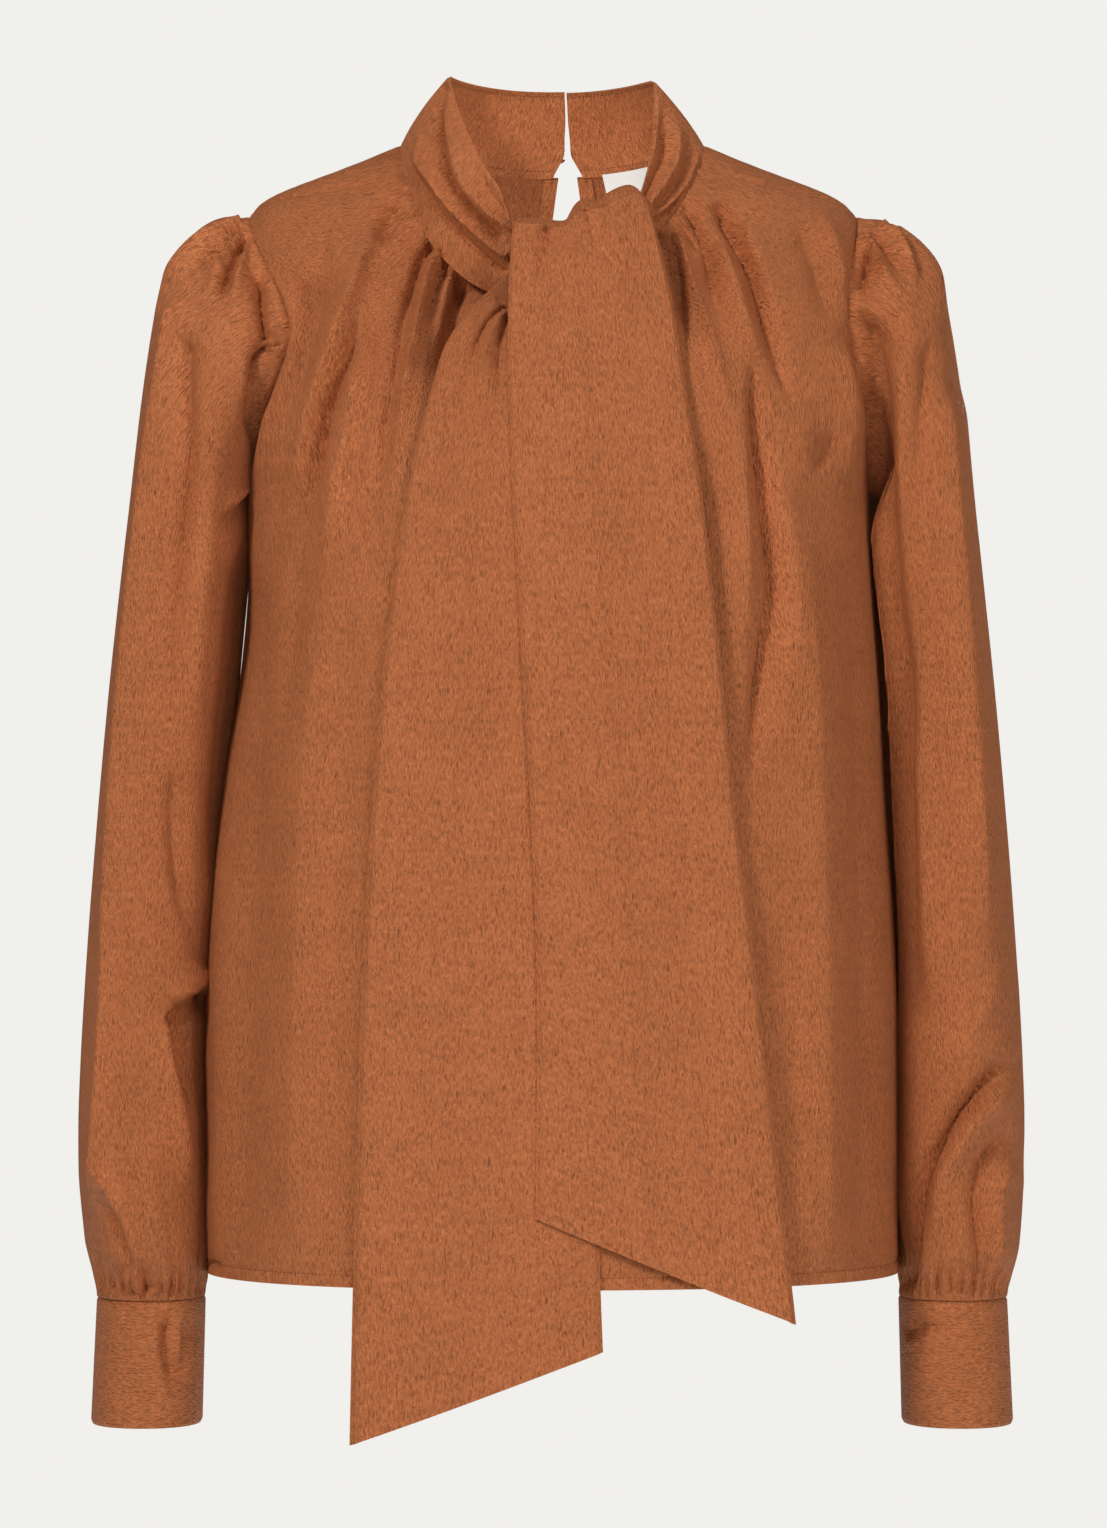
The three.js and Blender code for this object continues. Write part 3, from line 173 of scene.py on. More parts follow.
# Tie
TIE_DRAPE = columns(
    "z forward half",
    (-20, 68, 120),
    (-45, 76, 130),
    (-86, 87, 150),
    (-115, 95.5, 162),
    (-150, 109, 170),
    (-190, 117.4, 176),
    (-240, 122.3, 182),
    (-300, 124.6, 187),
    (-400, 125.2, 192),
    (-625, 125, 198),
    (-720, 125, 199),
)
UNDER_END = columns(
    "row left_x left_z right_x right_z",
    (0, -29, -74, 2, -84),
    (1, -43, -88, 6, -96),
    (2, -58, -110, 9, -122),
    (3, -67, -141, 11, -152),
    (4, -76.5, -181, 12.5, -186),
    (5, -86.5, -247, 15, -247),
    (6, -93.4, -314, 17, -314),
    (7, -98.7, -384, 19, -384),
    (8, -103, -465, 21.5, -465),
    (9, -106, -560, 24, -560),
    (10, -108, -640, 25.8, -612),
    (11, -109.4, -706, 27.4, -654),
)
OVER_END = columns(
    "row left_x left_z right_x right_z",
    (0, -23, -62, 58.5, -56),
    (1, -24, -86, 65, -86),
    (2, -24, -118, 69.6, -118),
    (3, -23.2, -152, 74.6, -152),
    (4, -21, -200, 81.4, -200),
    (5, -18.2, -250, 87, -250),
    (6, -14.8, -305, 92.6, -305),
    (7, -11.8, -357, 98.6, -365),
    (8, -9.4, -415, 107, -430),
    (9, -8, -470, 114.5, -495),
    (10, -8.4, -530, 123.5, -572),
    (11, -9.1, -582, 131.3, -641),
)
OVER_TURN = columns(
    "row left_x left_y left_z right_x right_y right_z",
    (0, -12, -44, -78, 26, -30, -66),
    (1, -14, -48, -58, 32, -30, -42),
    (2, -18, -57, -42.6, 42, -34, -22),
    (3, -20.5, -68, -39.1, 48, -46, -18.4),
    (4, -22, -78, -43, 52, -57, -26),
)
OVER_TURN_ROWS = 5
OVER_TOP = columns(
    "share rise", (0, 0), (0.2, -4.5), (0.36, -9), (0.42, -9), (0.46, -4), (0.54, -0.5), (0.66, -4),
    (0.76, -0.5), (0.92, 1), (1, -3),
)
OVER_TOP_ROWS = columns("row share", (0, 0), (1, 0.4), (2, 1), (3, 1), (4, 0.85), (5, 0.4), (6, 0))
OVER_CROWN = {"high": 9, "start": 1, "end": 3}
OVER_END_LIFT = 2.7
OVER_END_STAND = {"out": 3.5, "start": 0.72, "end": 0.97}
OVER_END_FREE, OVER_END_CREASED = (3, 5), (2, 3.5)
UNDER_END_TUCK = {"back": 13, "rows": 2.2}
TIE_EDGE_CLOSER = 0.6
TIE_WIDE, TIE_CURL, TIE_CURL_WIDE = 110, 2, 3

# Label and buttons
LABEL = {
    "start": 124, "end": 159.5, "slant": 4.2, "tall": 26, "inward": 2.4, "bulge": 1.2, "below": 0.4,
    "thick": 0.5,
}
BUTTON_RADIUS, BUTTON_BACK_RADIUS, BUTTON_SIDES, BUTTON_GAP = 4.6, 4.0, 20, 0.1
# How far each of a button's rings rises, and its size against the one before
BUTTON_RINGS = ((0.2, 1.12), (0.5, 1.02), (0.5, 0.93), (0.5, 0.8), (0.4, 0.66), (0.3, 0.5))
NECK_BUTTON_ASIDE, NECK_BUTTON_HEIGHTS = 7.5, (0.25, 0.77)
LOOP_CORD, LOOP_GAP, LOOP_ROOT_ASIDE = 0.9, 0.2, 1
LOOP_REACH = BUTTON_RADIUS + LOOP_CORD + 0.5
# The upper half of a loop, along and across, as shares of its reach
LOOP_HALF = [(1.58, 0.42), (0.67, 0.86), (0, 1), (-0.72, 0.7), (-1, 0)]
TUBE_AROUND, TUBE_STEPS, TUBE_LEAN = 10, 48, (0.13, 0.3, 1.0)


# Arithmetic


def smooth(value, low, high):
    """0 below low, 1 above high, and a soft step between them."""
    t = np.clip((value - low) / (high - low), 0, 1)
    return t * t * (3 - 2 * t)


def mix(a, b, share):
    return a + (b - a) * share


def signed_power(value, exponent):
    return np.sign(value) * np.abs(value) ** exponent


def through(table, column, at):
    """A smooth curve through a table's rows by its first column, straight on past its ends."""
    key = next(iter(table))
    keys, values = table[key], table[column]
    if keys[0] > keys[-1]:
        keys, values = keys[::-1], values[::-1]
    slopes = np.gradient(values, keys)
    slopes[1:-1] = (values[2:] - values[:-2]) / (keys[2:] - keys[:-2])
    at = np.asarray(at, float)
    i = np.clip(np.searchsorted(keys, at) - 1, 0, len(keys) - 2)
    span = keys[i + 1] - keys[i]
    t = np.clip((at - keys[i]) / span, 0, 1)
    past = at - keys[i] - t * span
    low, high = values[i], values[i + 1]
    curve = (
        low * (1 + 2 * t) * (1 - t) ** 2
        + slopes[i] * span * t * (1 - t) ** 2
        + high * t * t * (3 - 2 * t)
        + slopes[i + 1] * span * t * t * (t - 1)
    )
    return curve + past * np.where(t > 0, slopes[i + 1], slopes[i])


def points_of(x, y, z):
    return np.stack(np.broadcast_arrays(x, y, z), axis=-1).astype(float)


def running(steps):
    """Running totals from 0."""
    return np.concatenate([[0], np.cumsum(steps)])


def unit(vectors):
    return vectors / np.maximum(np.linalg.norm(vectors, axis=-1, keepdims=True), 1e-9)


def normals_of(surface, a, b, step_a, step_b):
    """Unit normals of a surface that takes two numbers."""
    along_a = surface(a + step_a, b) - surface(a - step_a, b)
    along_b = surface(a, b + step_b) - surface(a, b - step_b)
    return unit(np.cross(along_a, along_b))


def bezier(start, pull_start, pull_end, end, t):
    t = np.asarray(t)[..., None]
    u = 1 - t
    return u**3 * start + 3 * u * u * t * pull_start + 3 * u * t * t * pull_end + t**3 * end


def seen(points):
    """Where the camera sees points, on the plane through the shoulders."""
    grow = CAMERA_AWAY / (CAMERA_AWAY + points[..., 1])
    x = CAMERA_X + (points[..., 0] - CAMERA_X) * grow
    z = CAMERA_Z + (points[..., 2] - CAMERA_Z) * grow
    return np.stack([x, z], axis=-1)


# Creases

CREASE_STEPS, CREASE_REACH = 20, 3
CREASE_DEPTH = {"front": 2.3, "back": 1.3, "sleeve": 1.9, "cuff": 1.4, "collar": 1.5, "tie": 1.35}


def smooth_line(path, steps):
    """A Catmull-Rom curve through a path."""
    path = np.array(path, float)
    ends = np.vstack([2 * path[0] - path[1], path, 2 * path[-1] - path[-2]])
    spans = len(path) - 1
    t = np.linspace(0, spans, steps + 1)
    i = np.minimum(t.astype(int), spans - 1)
    t = (t - i)[:, None]
    before, start, end, after = ends[i], ends[i + 1], ends[i + 2], ends[i + 3]
    return 0.5 * (
        2 * start
        + (end - before) * t
        + (2 * before - 5 * start + 4 * end - after) * t * t
        + (3 * start - before - 3 * end + after) * t**3
    )


def fold(rise, left, right, *path, **ways):
    """One crease of a table, as what the next function takes."""
    return {"rise": rise, "left": left, "right": right, "path": path, **ways}


def crease(spots, path, rise, left, right, taper=1.0, start=0.25, end=0.4, point=1.4):
    """How far one crease lifts the cloth. It runs along a path, left and right wide on its two
    sides. taper narrows its beginning, start and end are the shares over which it fades, and
    point below 2 gives it a sharper back."""
    line = smooth_line(path, CREASE_STEPS)
    lift = np.zeros(len(spots))
    reach = CREASE_REACH * max(left, right)
    near = ((spots > line.min(0) - reach) & (spots < line.max(0) + reach)).all(1)
    place = spots[near]
    nearest = np.full(len(place), np.inf)
    share = np.zeros(len(place))
    side = np.zeros(len(place))
    for i in range(CREASE_STEPS):
        step = line[i + 1] - line[i]
        t = np.clip((place - line[i]) @ step / (step @ step), 0, 1)
        gap = place - line[i] - t[:, None] * step
        far = np.hypot(gap[:, 0], gap[:, 1])
        closer = far < nearest
        nearest = np.where(closer, far, nearest)
        share = np.where(closer, (i + t) / CREASE_STEPS, share)
        side = np.where(closer, step[0] * gap[:, 1] - step[1] * gap[:, 0], side)
    wide = np.where(side > 0, right, left) * mix(taper, 1, share)
    fade = smooth(share, -0.001, max(start, 0.001)) * (1 - smooth(share, 1 - end, 1))
    lift[near] = rise * fade * np.exp(-((nearest / wide) ** point))
    return lift


def creased(points, table):
    """The lift of all of a table's creases at points, as the camera sees them."""
    spots = seen(points)
    return sum((crease(spots, **row) for row in table), np.zeros(len(spots)))


def gathers(places, wide, lengths, depths, seed):
    """Gathers along a seam, as rows of place, width, length and depth, uneven by a seeded draw."""
    draw = np.random.default_rng(seed)
    places = np.array(places, float)
    count = len(places)
    return np.stack(
        [
            places + draw.uniform(-0.5, 0.5, count) * wide,
            wide * draw.uniform(0.75, 1.25, count),
            draw.uniform(*lengths, count),
            draw.uniform(*depths, count),
        ],
        axis=1,
    )


def gathered(table, place, distance, shut=4.0):
    """The sink of gathers at a place along the seam and a distance from it."""
    sink = np.zeros_like(place)
    for at, wide, long, deep in table:
        spread = wide * (1 + 0.5 * np.clip(distance / long, 0, 1))
        sink -= deep * (1 - smooth(distance, 0, long)) * np.exp(-(((place - at) / spread) ** 2))
    return sink * smooth(distance, -shut, shut)


# Creases are rows of how far they lift the cloth, their widths left and right, and their path.
# The front's: its left half from the armhole to the tie, then its right half
FRONT_CREASES = [
    fold(2.6, 4, 7, (-149, -57), (-153, -106), (-157, -146), (-166, -202), (-169, -246), start=0.15),
    fold(-4.2, 9, 13, (-141, -50), (-139, -78), (-141, -112), (-152, -179)),
    fold(1.6, 7, 7, (-116, -17), (-122, -39), (-123, -64)),
    fold(-1.8, 7, 8, (-124, -31), (-129, -56), (-131, -78), (-136, -106)),
    fold(4.8, 14, 6, (-94, -25), (-110, -68), (-125, -113), (-138, -158), (-150, -213), taper=0.7,
         point=1.3),
    fold(-4.8, 3, 6, (-105, -78), (-122, -124), (-128, -142), (-132, -161), (-136, -188), (-147, -252),
         taper=0.8, start=0.12, point=1.2),
    fold(-1.6, 7, 12, (-140, -216), (-145, -247), (-149, -291), (-150, -342)),
    fold(-2.6, 3.5, 4, (-87, -22), (-94, -36), (-99, -48), start=0.1),
    fold(-2.2, 3, 3, (-73, -30), (-84, -31), (-92, -41), (-97, -57), start=0.05),
    fold(2.2, 4, 5, (-71, -32), (-81, -34), (-88, -45), (-94, -60), start=0.05),
    fold(4.2, 9, 8, (-108, -106), (-110, -130), (-113, -153), (-123, -202), (-128, -246), taper=0.8),
    fold(-2.6, 6, 7, (-99, -78), (-103, -106), (-112, -174), (-117, -213)),
    fold(-4.6, 3.6, 5, (-66, -43), (-73, -53), (-77, -66), (-82, -83), (-87, -106), taper=0.7, start=0.03,
         point=1.2),
    fold(-3, 6, 6, (-81, -78), (-86, -106), (-92, -134), (-97, -168), (-106, -246), taper=0.7),
    fold(2.2, 5, 5, (-86, -95), (-93, -129), (-100, -162), (-106, -202)),
    fold(4.4, 6, 5.5, (-62, -49), (-69, -65), (-79, -110), (-84, -147), (-94, -216), taper=0.5, start=0.05,
         point=1.3),
    fold(-4, 3.2, 3.5, (-58, -53), (-63, -63), (-68, -78), (-72, -95), taper=0.8, start=0.03, point=1.2),
    fold(2.6, 4, 4, (-54, -57), (-59, -73), (-63, -92), (-68, -115), taper=0.6, start=0.05),
    fold(-7.5, 9, 14, (-49, -61), (-54, -78), (-61, -104), (-67, -129), (-75, -202), taper=0.8, start=0.03,
         end=0.6),
    fold(1.9, 16, 13, (-133, -258), (-141, -414), (-146, -627), end=0.15),
    fold(-2.2, 13, 17, (-162, -224), (-166, -302), (-171, -470), (-177, -633), end=0.1),
    fold(-1.6, 12, 12, (-113, -224), (-120, -392), (-124, -630), end=0.1),
    fold(1.8, 8, 10, (-181, -269), (-185, -414), (-188, -627), end=0.1),
    fold(-1.3, 1.8, 2, (-193, -617), (-185, -620), start=0.1),
    fold(-2.4, 3.5, 4, (58, -37), (64, -53), (69, -73), (73, -92), (80, -134), taper=0.7, start=0.03),
    fold(-2.6, 2.6, 2.4, (68, -37), (71, -56), (73, -79), (77, -103), taper=0.8, start=0.05, point=1.2),
    fold(3, 3.6, 5, (70, -38), (76, -61), (82, -79), (90, -103), (96, -128), (101, -148), taper=0.5,
         start=0.05, point=1.2),
    fold(-2.6, 2.4, 2.6, (72, -34), (79, -44), (84, -51), start=0.05),
    fold(1.8, 3, 3, (71, -30), (78, -38), (83, -48), (86, -60), start=0.05),
    fold(-3.8, 4, 4.6, (75, -26), (82, -41), (86, -56), (91, -76), (103, -108), taper=0.7, start=0.05,
         point=1.2),
    fold(1.6, 3, 3, (80, -24), (90, -26), (95, -31), start=0.1),
    fold(-4.8, 4.8, 6, (94, -24), (95, -31), (109, -57), (117, -82), (131, -123), (137, -141), taper=0.6,
         start=0.12, point=1.15),
    fold(3, 9, 6, (90, -42), (100, -62), (108, -87), (122, -130), taper=0.7),
    fold(2.6, 5, 9, (104, -31), (112, -50), (122, -76), (139, -120), taper=0.7),
    fold(-5, 5, 6.4, (113, -104), (114, -133), (119, -188), (125, -234), (121, -264), (113, -322),
         (111, -358), taper=0.7, start=0.2, end=0.3, point=1.2),
    fold(2.4, 8, 6, (106, -134), (106, -174), (108, -213), (108, -252), (104, -291)),
    fold(3, 7, 12, (123, -157), (127, -190), (133, -224), (134, -269), (124, -353)),
    fold(-2, 5, 4, (160, -152), (155, -160), (150, -167), (147, -178)),
    fold(1.2, 7, 5, (133, -148), (139, -158), (147, -162), (155, -158)),
    fold(3.2, 8, 9, (159, -101), (164, -126), (166, -148), (162, -202)),
    fold(-2.6, 7, 8, (136, -31), (146, -52), (153, -73), (159, -95)),
    fold(1.8, 6, 6, (148, -25), (157, -45), (162, -64), (166, -84)),
    fold(2.6, 14, 16, (139, -202), (147, -325), (152, -493), (153, -627), end=0.1),
    fold(-2.2, 11, 10, (168, -202), (174, -347), (176, -526), (176, -627), end=0.1),
    fold(-1.8, 11, 12, (128, -386), (134, -515), (138, -571)),
    fold(-2.4, 8, 9, (77, -146), (83, -202), (87, -258), (92, -302)),
]
# The neck's gathers, in degrees
NECK_GATHERS = gathers([-33, -25, -17, -9, 0, 9, 17, 25, 33], 2.6, (45, 70), (1.8, 2.8), 3)
NECK_FINE_GATHERS = gathers(range(-70, 71, 5), 1.3, (12, 30), (0.5, 1.1), 4)

# The back's creases, as seen through it from the front
BACK_CREASES = [
    fold(4.4, 14, 12, (-120, -50), (-128, -140), (-138, -420), (-142, -624), end=0.1),
    fold(-3.4, 9, 11, (-96, -30), (-100, -120), (-104, -260), (-110, -400)),
    fold(3.2, 11, 10, (-70, -20), (-72, -110), (-84, -460), (-90, -624), end=0.1),
    fold(-3.4, 10, 12, (-40, -60), (-46, -200), (-54, -380), (-58, -624), end=0.1),
    fold(3, 11, 11, (-14, -130), (-18, -260), (-24, -420), (-28, -624), end=0.1),
    fold(-2.4, 9, 10, (14, -160), (10, -300), (6, -480)),
    fold(3.6, 11, 12, (36, -60), (38, -180), (42, -340), (46, -624), end=0.1),
    fold(-3.8, 11, 11, (66, -30), (72, -150), (78, -300), (88, -624), end=0.1),
    fold(3, 10, 12, (94, -40), (102, -150), (108, -300), (112, -460)),
    fold(-3, 12, 11, (124, -70), (132, -220), (138, -400), (142, -624), end=0.1),
    fold(2.4, 7, 8, (-150, -110), (-146, -150), (-134, -200), (-116, -240)),
    fold(2.6, 8, 7, (156, -120), (150, -165), (138, -215), (118, -255)),
]

# The sleeves' creases, on their front halves and on their back halves
SLEEVE_CREASES = {
    "left front": [
        fold(4.2, 6, 6, (-174, -33), (-180, -36), (-194, -44), (-207, -58), (-216, -78), (-222, -134),
             taper=0.6, start=0.05, point=1.3),
        fold(-3.6, 3, 3.4, (-173, -36), (-184, -44), (-195, -54), (-203, -67), taper=0.7, start=0.05,
             point=1.2),
        fold(2.8, 4, 4, (-172, -38), (-181, -49), (-188, -63), (-192, -78), taper=0.6, start=0.05),
        fold(-5, 3.4, 4, (-170, -40), (-178, -52), (-184, -67), (-186, -81), taper=0.7, start=0.05,
             point=1.2),
        fold(2.8, 4.5, 5, (-168, -44), (-174, -57), (-177, -73), (-179, -95), taper=0.6, start=0.05),
        fold(-2.4, 2.6, 2.8, (-166, -49), (-170, -55), (-171, -64), start=0.05),
        fold(-1.8, 2.4, 2.6, (-164, -54), (-167, -60), (-167, -68), start=0.05),
        fold(-5.5, 4, 2.5, (-162, -58), (-162, -76), (-160, -92), (-157, -102), start=0.1, end=0.15,
             point=1.3),
        fold(-6, 3.6, 6, (-157, -104), (-164, -109), (-165, -127), (-167, -144), (-166, -164), start=0.05,
             end=0.3, point=1.2),
        fold(4, 6, 9, (-205, -70), (-214, -100), (-224, -165), (-236, -271), (-245, -378), (-249, -460),
             (-253, -535), (-255, -600), taper=0.8, start=0.1, end=0.1, point=1.2),
        fold(-4.6, 6, 7, (-205, -95), (-207, -120), (-204, -174), (-209, -258), (-213, -342), taper=0.8,
             start=0.15, point=1.3),
        fold(-3.4, 6, 7, (-212, -336), (-212, -370), (-208, -405), (-195, -455)),
        fold(2.6, 9, 9, (-194, -112), (-193, -190), (-197, -246), (-203, -358)),
        fold(3.4, 4, 4.5, (-162, -165), (-169, -180), (-179, -191), (-189, -201), start=0.1, point=1.2),
        fold(-2.6, 4, 5, (-165, -174), (-171, -187), (-180, -198), (-189, -209)),
        fold(-2.8, 7, 7, (-172, -207), (-177, -258), (-187, -370), (-190, -414)),
        fold(3.2, 6, 5.5, (-190, -456), (-199, -463), (-207, -467), (-214, -473), start=0.1, end=0.3),
        fold(-4.6, 5.5, 6, (-190, -466), (-199, -472), (-206, -476), (-213, -480), start=0.1, end=0.3),
        fold(-6.5, 3.6, 9, (-212, -476), (-209, -490), (-206, -510), (-199, -538), start=0.08, end=0.5,
             point=1.2),
        fold(3, 8, 5, (-217, -476), (-215, -498), (-206, -554), (-203, -582)),
        fold(4, 5, 4.4, (-256, -554), (-249, -568), (-241, -589), (-235, -613), (-231, -636), taper=1.2,
             start=0.3, end=0.05, point=1.3),
        fold(-3.6, 3.5, 6, (-251, -577), (-242, -599), (-235, -617), (-227, -636), start=0.3, end=0.05),
        fold(1.8, 8, 8, (-225, -538), (-224, -571), (-221, -605), (-220, -636), end=0.1),
        fold(-1.8, 9, 9, (-237, -414), (-241, -470), (-243, -515), (-241, -549)),
    ],
    "right front": [
        fold(4, 4, 3.6, (170, -44), (177, -45), (183, -56), (189, -68), (199, -76), taper=0.8, start=0.05,
             point=1.2),
        fold(-4.2, 3, 3.4, (179, -48), (176, -55), (172, -64), (168, -80), start=0.08, end=0.25),
        fold(-3.6, 3, 3.4, (180, -40), (185, -46), (193, -57), (199, -69), taper=0.7, start=0.05,
             point=1.2),
        fold(3.4, 3.6, 4, (184, -35), (190, -39), (197, -49), (202, -60), (203, -76), taper=0.7, start=0.05,
             point=1.3),
        fold(-3, 3.2, 4, (187, -34), (197, -41), (203, -54), (208, -69), taper=0.7, start=0.05),
        fold(2.8, 4.6, 5, (193, -35), (203, -43), (211, -57), (216, -76), (218, -101), taper=0.6,
             start=0.05),
        fold(-7, 8, 13, (172, -80), (177, -120), (182, -180), (187, -260), (193, -380), (196, -470),
             start=0.1, end=0.5),
        fold(-3.4, 7, 6, (214, -95), (211, -115), (206, -154), (206, -183), (207, -213)),
        fold(2.8, 11, 9, (198, -95), (195, -134), (194, -179), (199, -280)),
        fold(3.4, 9, 9, (220, -123), (222, -162), (231, -269), (240, -392), (243, -459), start=0.2,
             end=0.3),
        fold(-3, 9, 8, (209, -224), (214, -280), (220, -336), (227, -437)),
        fold(-3.2, 8, 9, (189, -246), (194, -314), (200, -448), (203, -493)),
        fold(2.2, 8, 8, (200, -302), (205, -370), (209, -437), (212, -487)),
        fold(-6, 5.2, 4.2, (262, -500), (239, -522), (218, -547), (207, -575), (200, -605), (197, -634),
             taper=0.8, start=0.15, end=0.05, point=1.2),
        fold(4, 7, 5, (261, -518), (239, -536), (222, -564), (216, -582), (212, -610), start=0.2),
        fold(-4.4, 4.4, 5.4, (260, -542), (242, -561), (238, -573), (236, -586), (243, -633), start=0.15,
             end=0.2, point=1.2),
        fold(2.6, 5, 6, (259, -560), (252, -571), (249, -588), (252, -633), end=0.15),
        fold(1.8, 8, 7, (251, -448), (242, -476), (228, -498), (214, -515)),
    ],
    "left back": [
        fold(3.4, 6, 6, (-176, -34), (-192, -60), (-204, -110), (-212, -190), taper=0.6, start=0.05),
        fold(-3.4, 4, 4, (-174, -42), (-184, -70), (-190, -110), taper=0.7, start=0.05),
        fold(-3.6, 8, 8, (-208, -120), (-222, -260), (-232, -400), (-238, -520)),
        fold(3.4, 10, 9, (-192, -130), (-204, -280), (-214, -420), (-222, -560)),
        fold(3, 5, 6, (-250, -400), (-234, -440), (-214, -462), (-198, -470), end=0.2),
        fold(-3.6, 5, 6, (-252, -412), (-236, -454), (-216, -478), (-200, -484), end=0.2),
        fold(2.8, 6, 6, (-246, -520), (-240, -570), (-236, -634), end=0.05),
    ],
    "right back": [
        fold(3.2, 6, 6, (176, -34), (194, -62), (206, -112), (214, -190), taper=0.6, start=0.05),
        fold(-3.4, 4, 4, (174, -44), (186, -74), (192, -116), taper=0.7, start=0.05),
        fold(3.2, 8, 8, (210, -130), (224, -270), (232, -400), (236, -500)),
        fold(-3.4, 9, 9, (198, -150), (208, -290), (216, -430), (222, -560)),
        fold(-3.4, 5, 6, (252, -420), (238, -452), (220, -470), (200, -480), end=0.2),
        fold(-3, 6, 6, (250, -520), (242, -570), (238, -634), end=0.05),
    ],
}
SLEEVE_HEAD_GATHERS = {
    "left": gathers(range(-100, 101, 11), 3.6, (22, 46), (1.4, 2.6), 11),
    "right": gathers(range(-100, 101, 11), 3.6, (22, 46), (1.4, 2.6), 12),
}
CUFF_GATHERS = {
    "left": gathers(np.arange(6, 366, 12), 3.3, (20, 58), (2.6, 5.0), 21),
    "right": gathers(np.arange(2, 362, 12), 3.3, (20, 58), (2.6, 5.0), 22),
}

# Creases of the collar, the cuffs and the tie
COLLAR_CREASES = {
    "left": [
        fold(-5, 2.4, 2.4, (-61, 45), (-63, 28), (-63, 10), (-59, -9), (-47, -26), (-38, -36), (-27, -46),
             start=0.03, end=0.1, point=1.2),
        fold(2, 3.5, 5, (-58, 43), (-60, 28), (-52, -11), (-41, -24), (-29, -35), (-20, -39), start=0.1,
             end=0.2),
        fold(3.8, 2.2, 4.2, (-78, 4), (-68, -10), (-62, -20), (-53, -31), (-32, -50), (-23, -55), taper=0.8,
             start=0.15, end=0.05, point=1.15),
        fold(-2.2, 2.2, 2.2, (-77, -3), (-72, -14), (-65, -26), (-54, -39), (-32, -59), (-25, -62),
             taper=0.7, start=0.3, end=0.05, point=1.3),
        fold(-2, 4, 3, (-41, -7), (-36, -17), (-29, -26), (-21, -35), end=0.2),
        fold(1.8, 2.4, 2.4, (-40, -26), (-30, -34), (-20, -39), end=0.1),
        fold(1.6, 5, 5, (-72, 22), (-75, 8), (-72, -7), (-64, -17)),
    ],
    "right": [
        fold(-3.6, 3, 3.6, (62, 34), (63, 17), (63, 4), (59, -6), (54, -16), (49, -22), end=0.05,
             point=1.2),
        fold(2.8, 3.6, 4.2, (68, 28), (70, 11), (68, -3), (60, -16), (53, -26), end=0.1),
        fold(-2.4, 2.6, 3.2, (77, 16), (77, 3), (73, -9), (65, -20), (56, -29), end=0.1),
        fold(2, 2.2, 2, (82, 7), (80, -4), (74, -15), (65, -25), (56, -32), start=0.2, end=0.05, point=1.2),
        fold(-2.2, 1.6, 1.6, (83, 0), (80, -10), (73, -20), (65, -28), (57, -34), start=0.15, end=0.05,
             point=1.2),
        fold(1.8, 2.4, 3.2, (56, 41), (58, 28), (57, 11), (54, -6), start=0.2, end=0.3),
    ],
}
CUFF_CREASES = {
    "left": [
        fold(-4.2, 3.6, 6, (-211, -645), (-216, -655), (-216, -668), (-212, -679), (-206, -685), point=1.3),
        fold(-2.8, 4, 4, (-199, -646), (-204, -661), (-206, -675), (-207, -688)),
        fold(2, 3, 3, (-208, -643), (-209, -655), (-207, -668), (-205, -680)),
        fold(1.6, 4, 3, (-220, -650), (-221, -666), (-218, -683), (-216, -700)),
    ],
    "right": [
        fold(-2.2, 2.4, 2.6, (197, -657), (207, -653), (218, -652), (232, -650), start=0.05),
        fold(1.4, 3, 3, (198, -664), (207, -660), (220, -659), start=0.1),
        fold(-1.8, 4, 4, (202, -642), (205, -655), (204, -670)),
    ],
}
OVER_END_CREASES = [
    fold(-3.6, 4.2, 2.8, (-3, -37), (-3, -45), (-6, -55), (-11, -65), start=0.02),
    fold(1.6, 2.4, 4, (2, -37), (1, -48), (-2, -60), start=0.05),
    fold(-2.6, 3.4, 5, (18, -26), (22, -36), (27, -49), (47, -69), taper=0.6, start=0.05),
    fold(1.6, 4, 5, (26, -25), (30, -38), (39, -50), (50, -57), start=0.1),
    fold(-0.35, 1.4, 1.4, (-17, -254), (27, -256), (80, -256), start=0.05, end=0.05),
    fold(1.5, 22, 24, (13, -202), (18, -302), (25, -414), (30, -526)),
    fold(-1.3, 18, 18, (49, -179), (60, -302), (77, -442), (94, -571)),
]
UNDER_END_CREASES = [
    fold(-4.6, 3, 4.2, (-26, -81), (-35, -88), (-41, -99), (-47, -113), (-54, -134), taper=0.5, start=0.02,
         end=0.5, point=1.2),
    fold(1.6, 5, 3, (-29, -78), (-38, -82), (-46, -91), (-59, -123), start=0.1),
    fold(3.6, 4.4, 3.8, (-26, -82), (-31, -91), (-36, -103), (-39, -124), (-46, -179), taper=0.4,
         start=0.03, point=1.2),
    fold(-5, 2.4, 5, (-24, -85), (-27, -92), (-30, -106), (-30, -121), (-27, -137), taper=0.6, start=0.03,
         point=1.2),
    fold(1.6, 9, 9, (-46, -151), (-46, -174), (-47, -202), (-50, -246)),
    fold(1.6, 18, 20, (-63, -224), (-71, -336), (-80, -448), (-84, -582)),
    fold(-1.5, 16, 16, (-29, -224), (-29, -336), (-30, -448), (-29, -582)),
]


# Surfaces. Each takes arrays and gives points in millimetres

# Steps between the places where slopes are measured, and how far past its ends a surface runs on
BODY_STEPS, SLEEVE_STEPS, CUFF_STEPS, COLLAR_STEPS = (0.3, 0.004), (1, 0.01), (1, 0.02), (0.4, 0.01)
TIE_STEPS = (0.01, 0.02)
PAST_HEM, PAST_SEAM = 1.05, 1.02
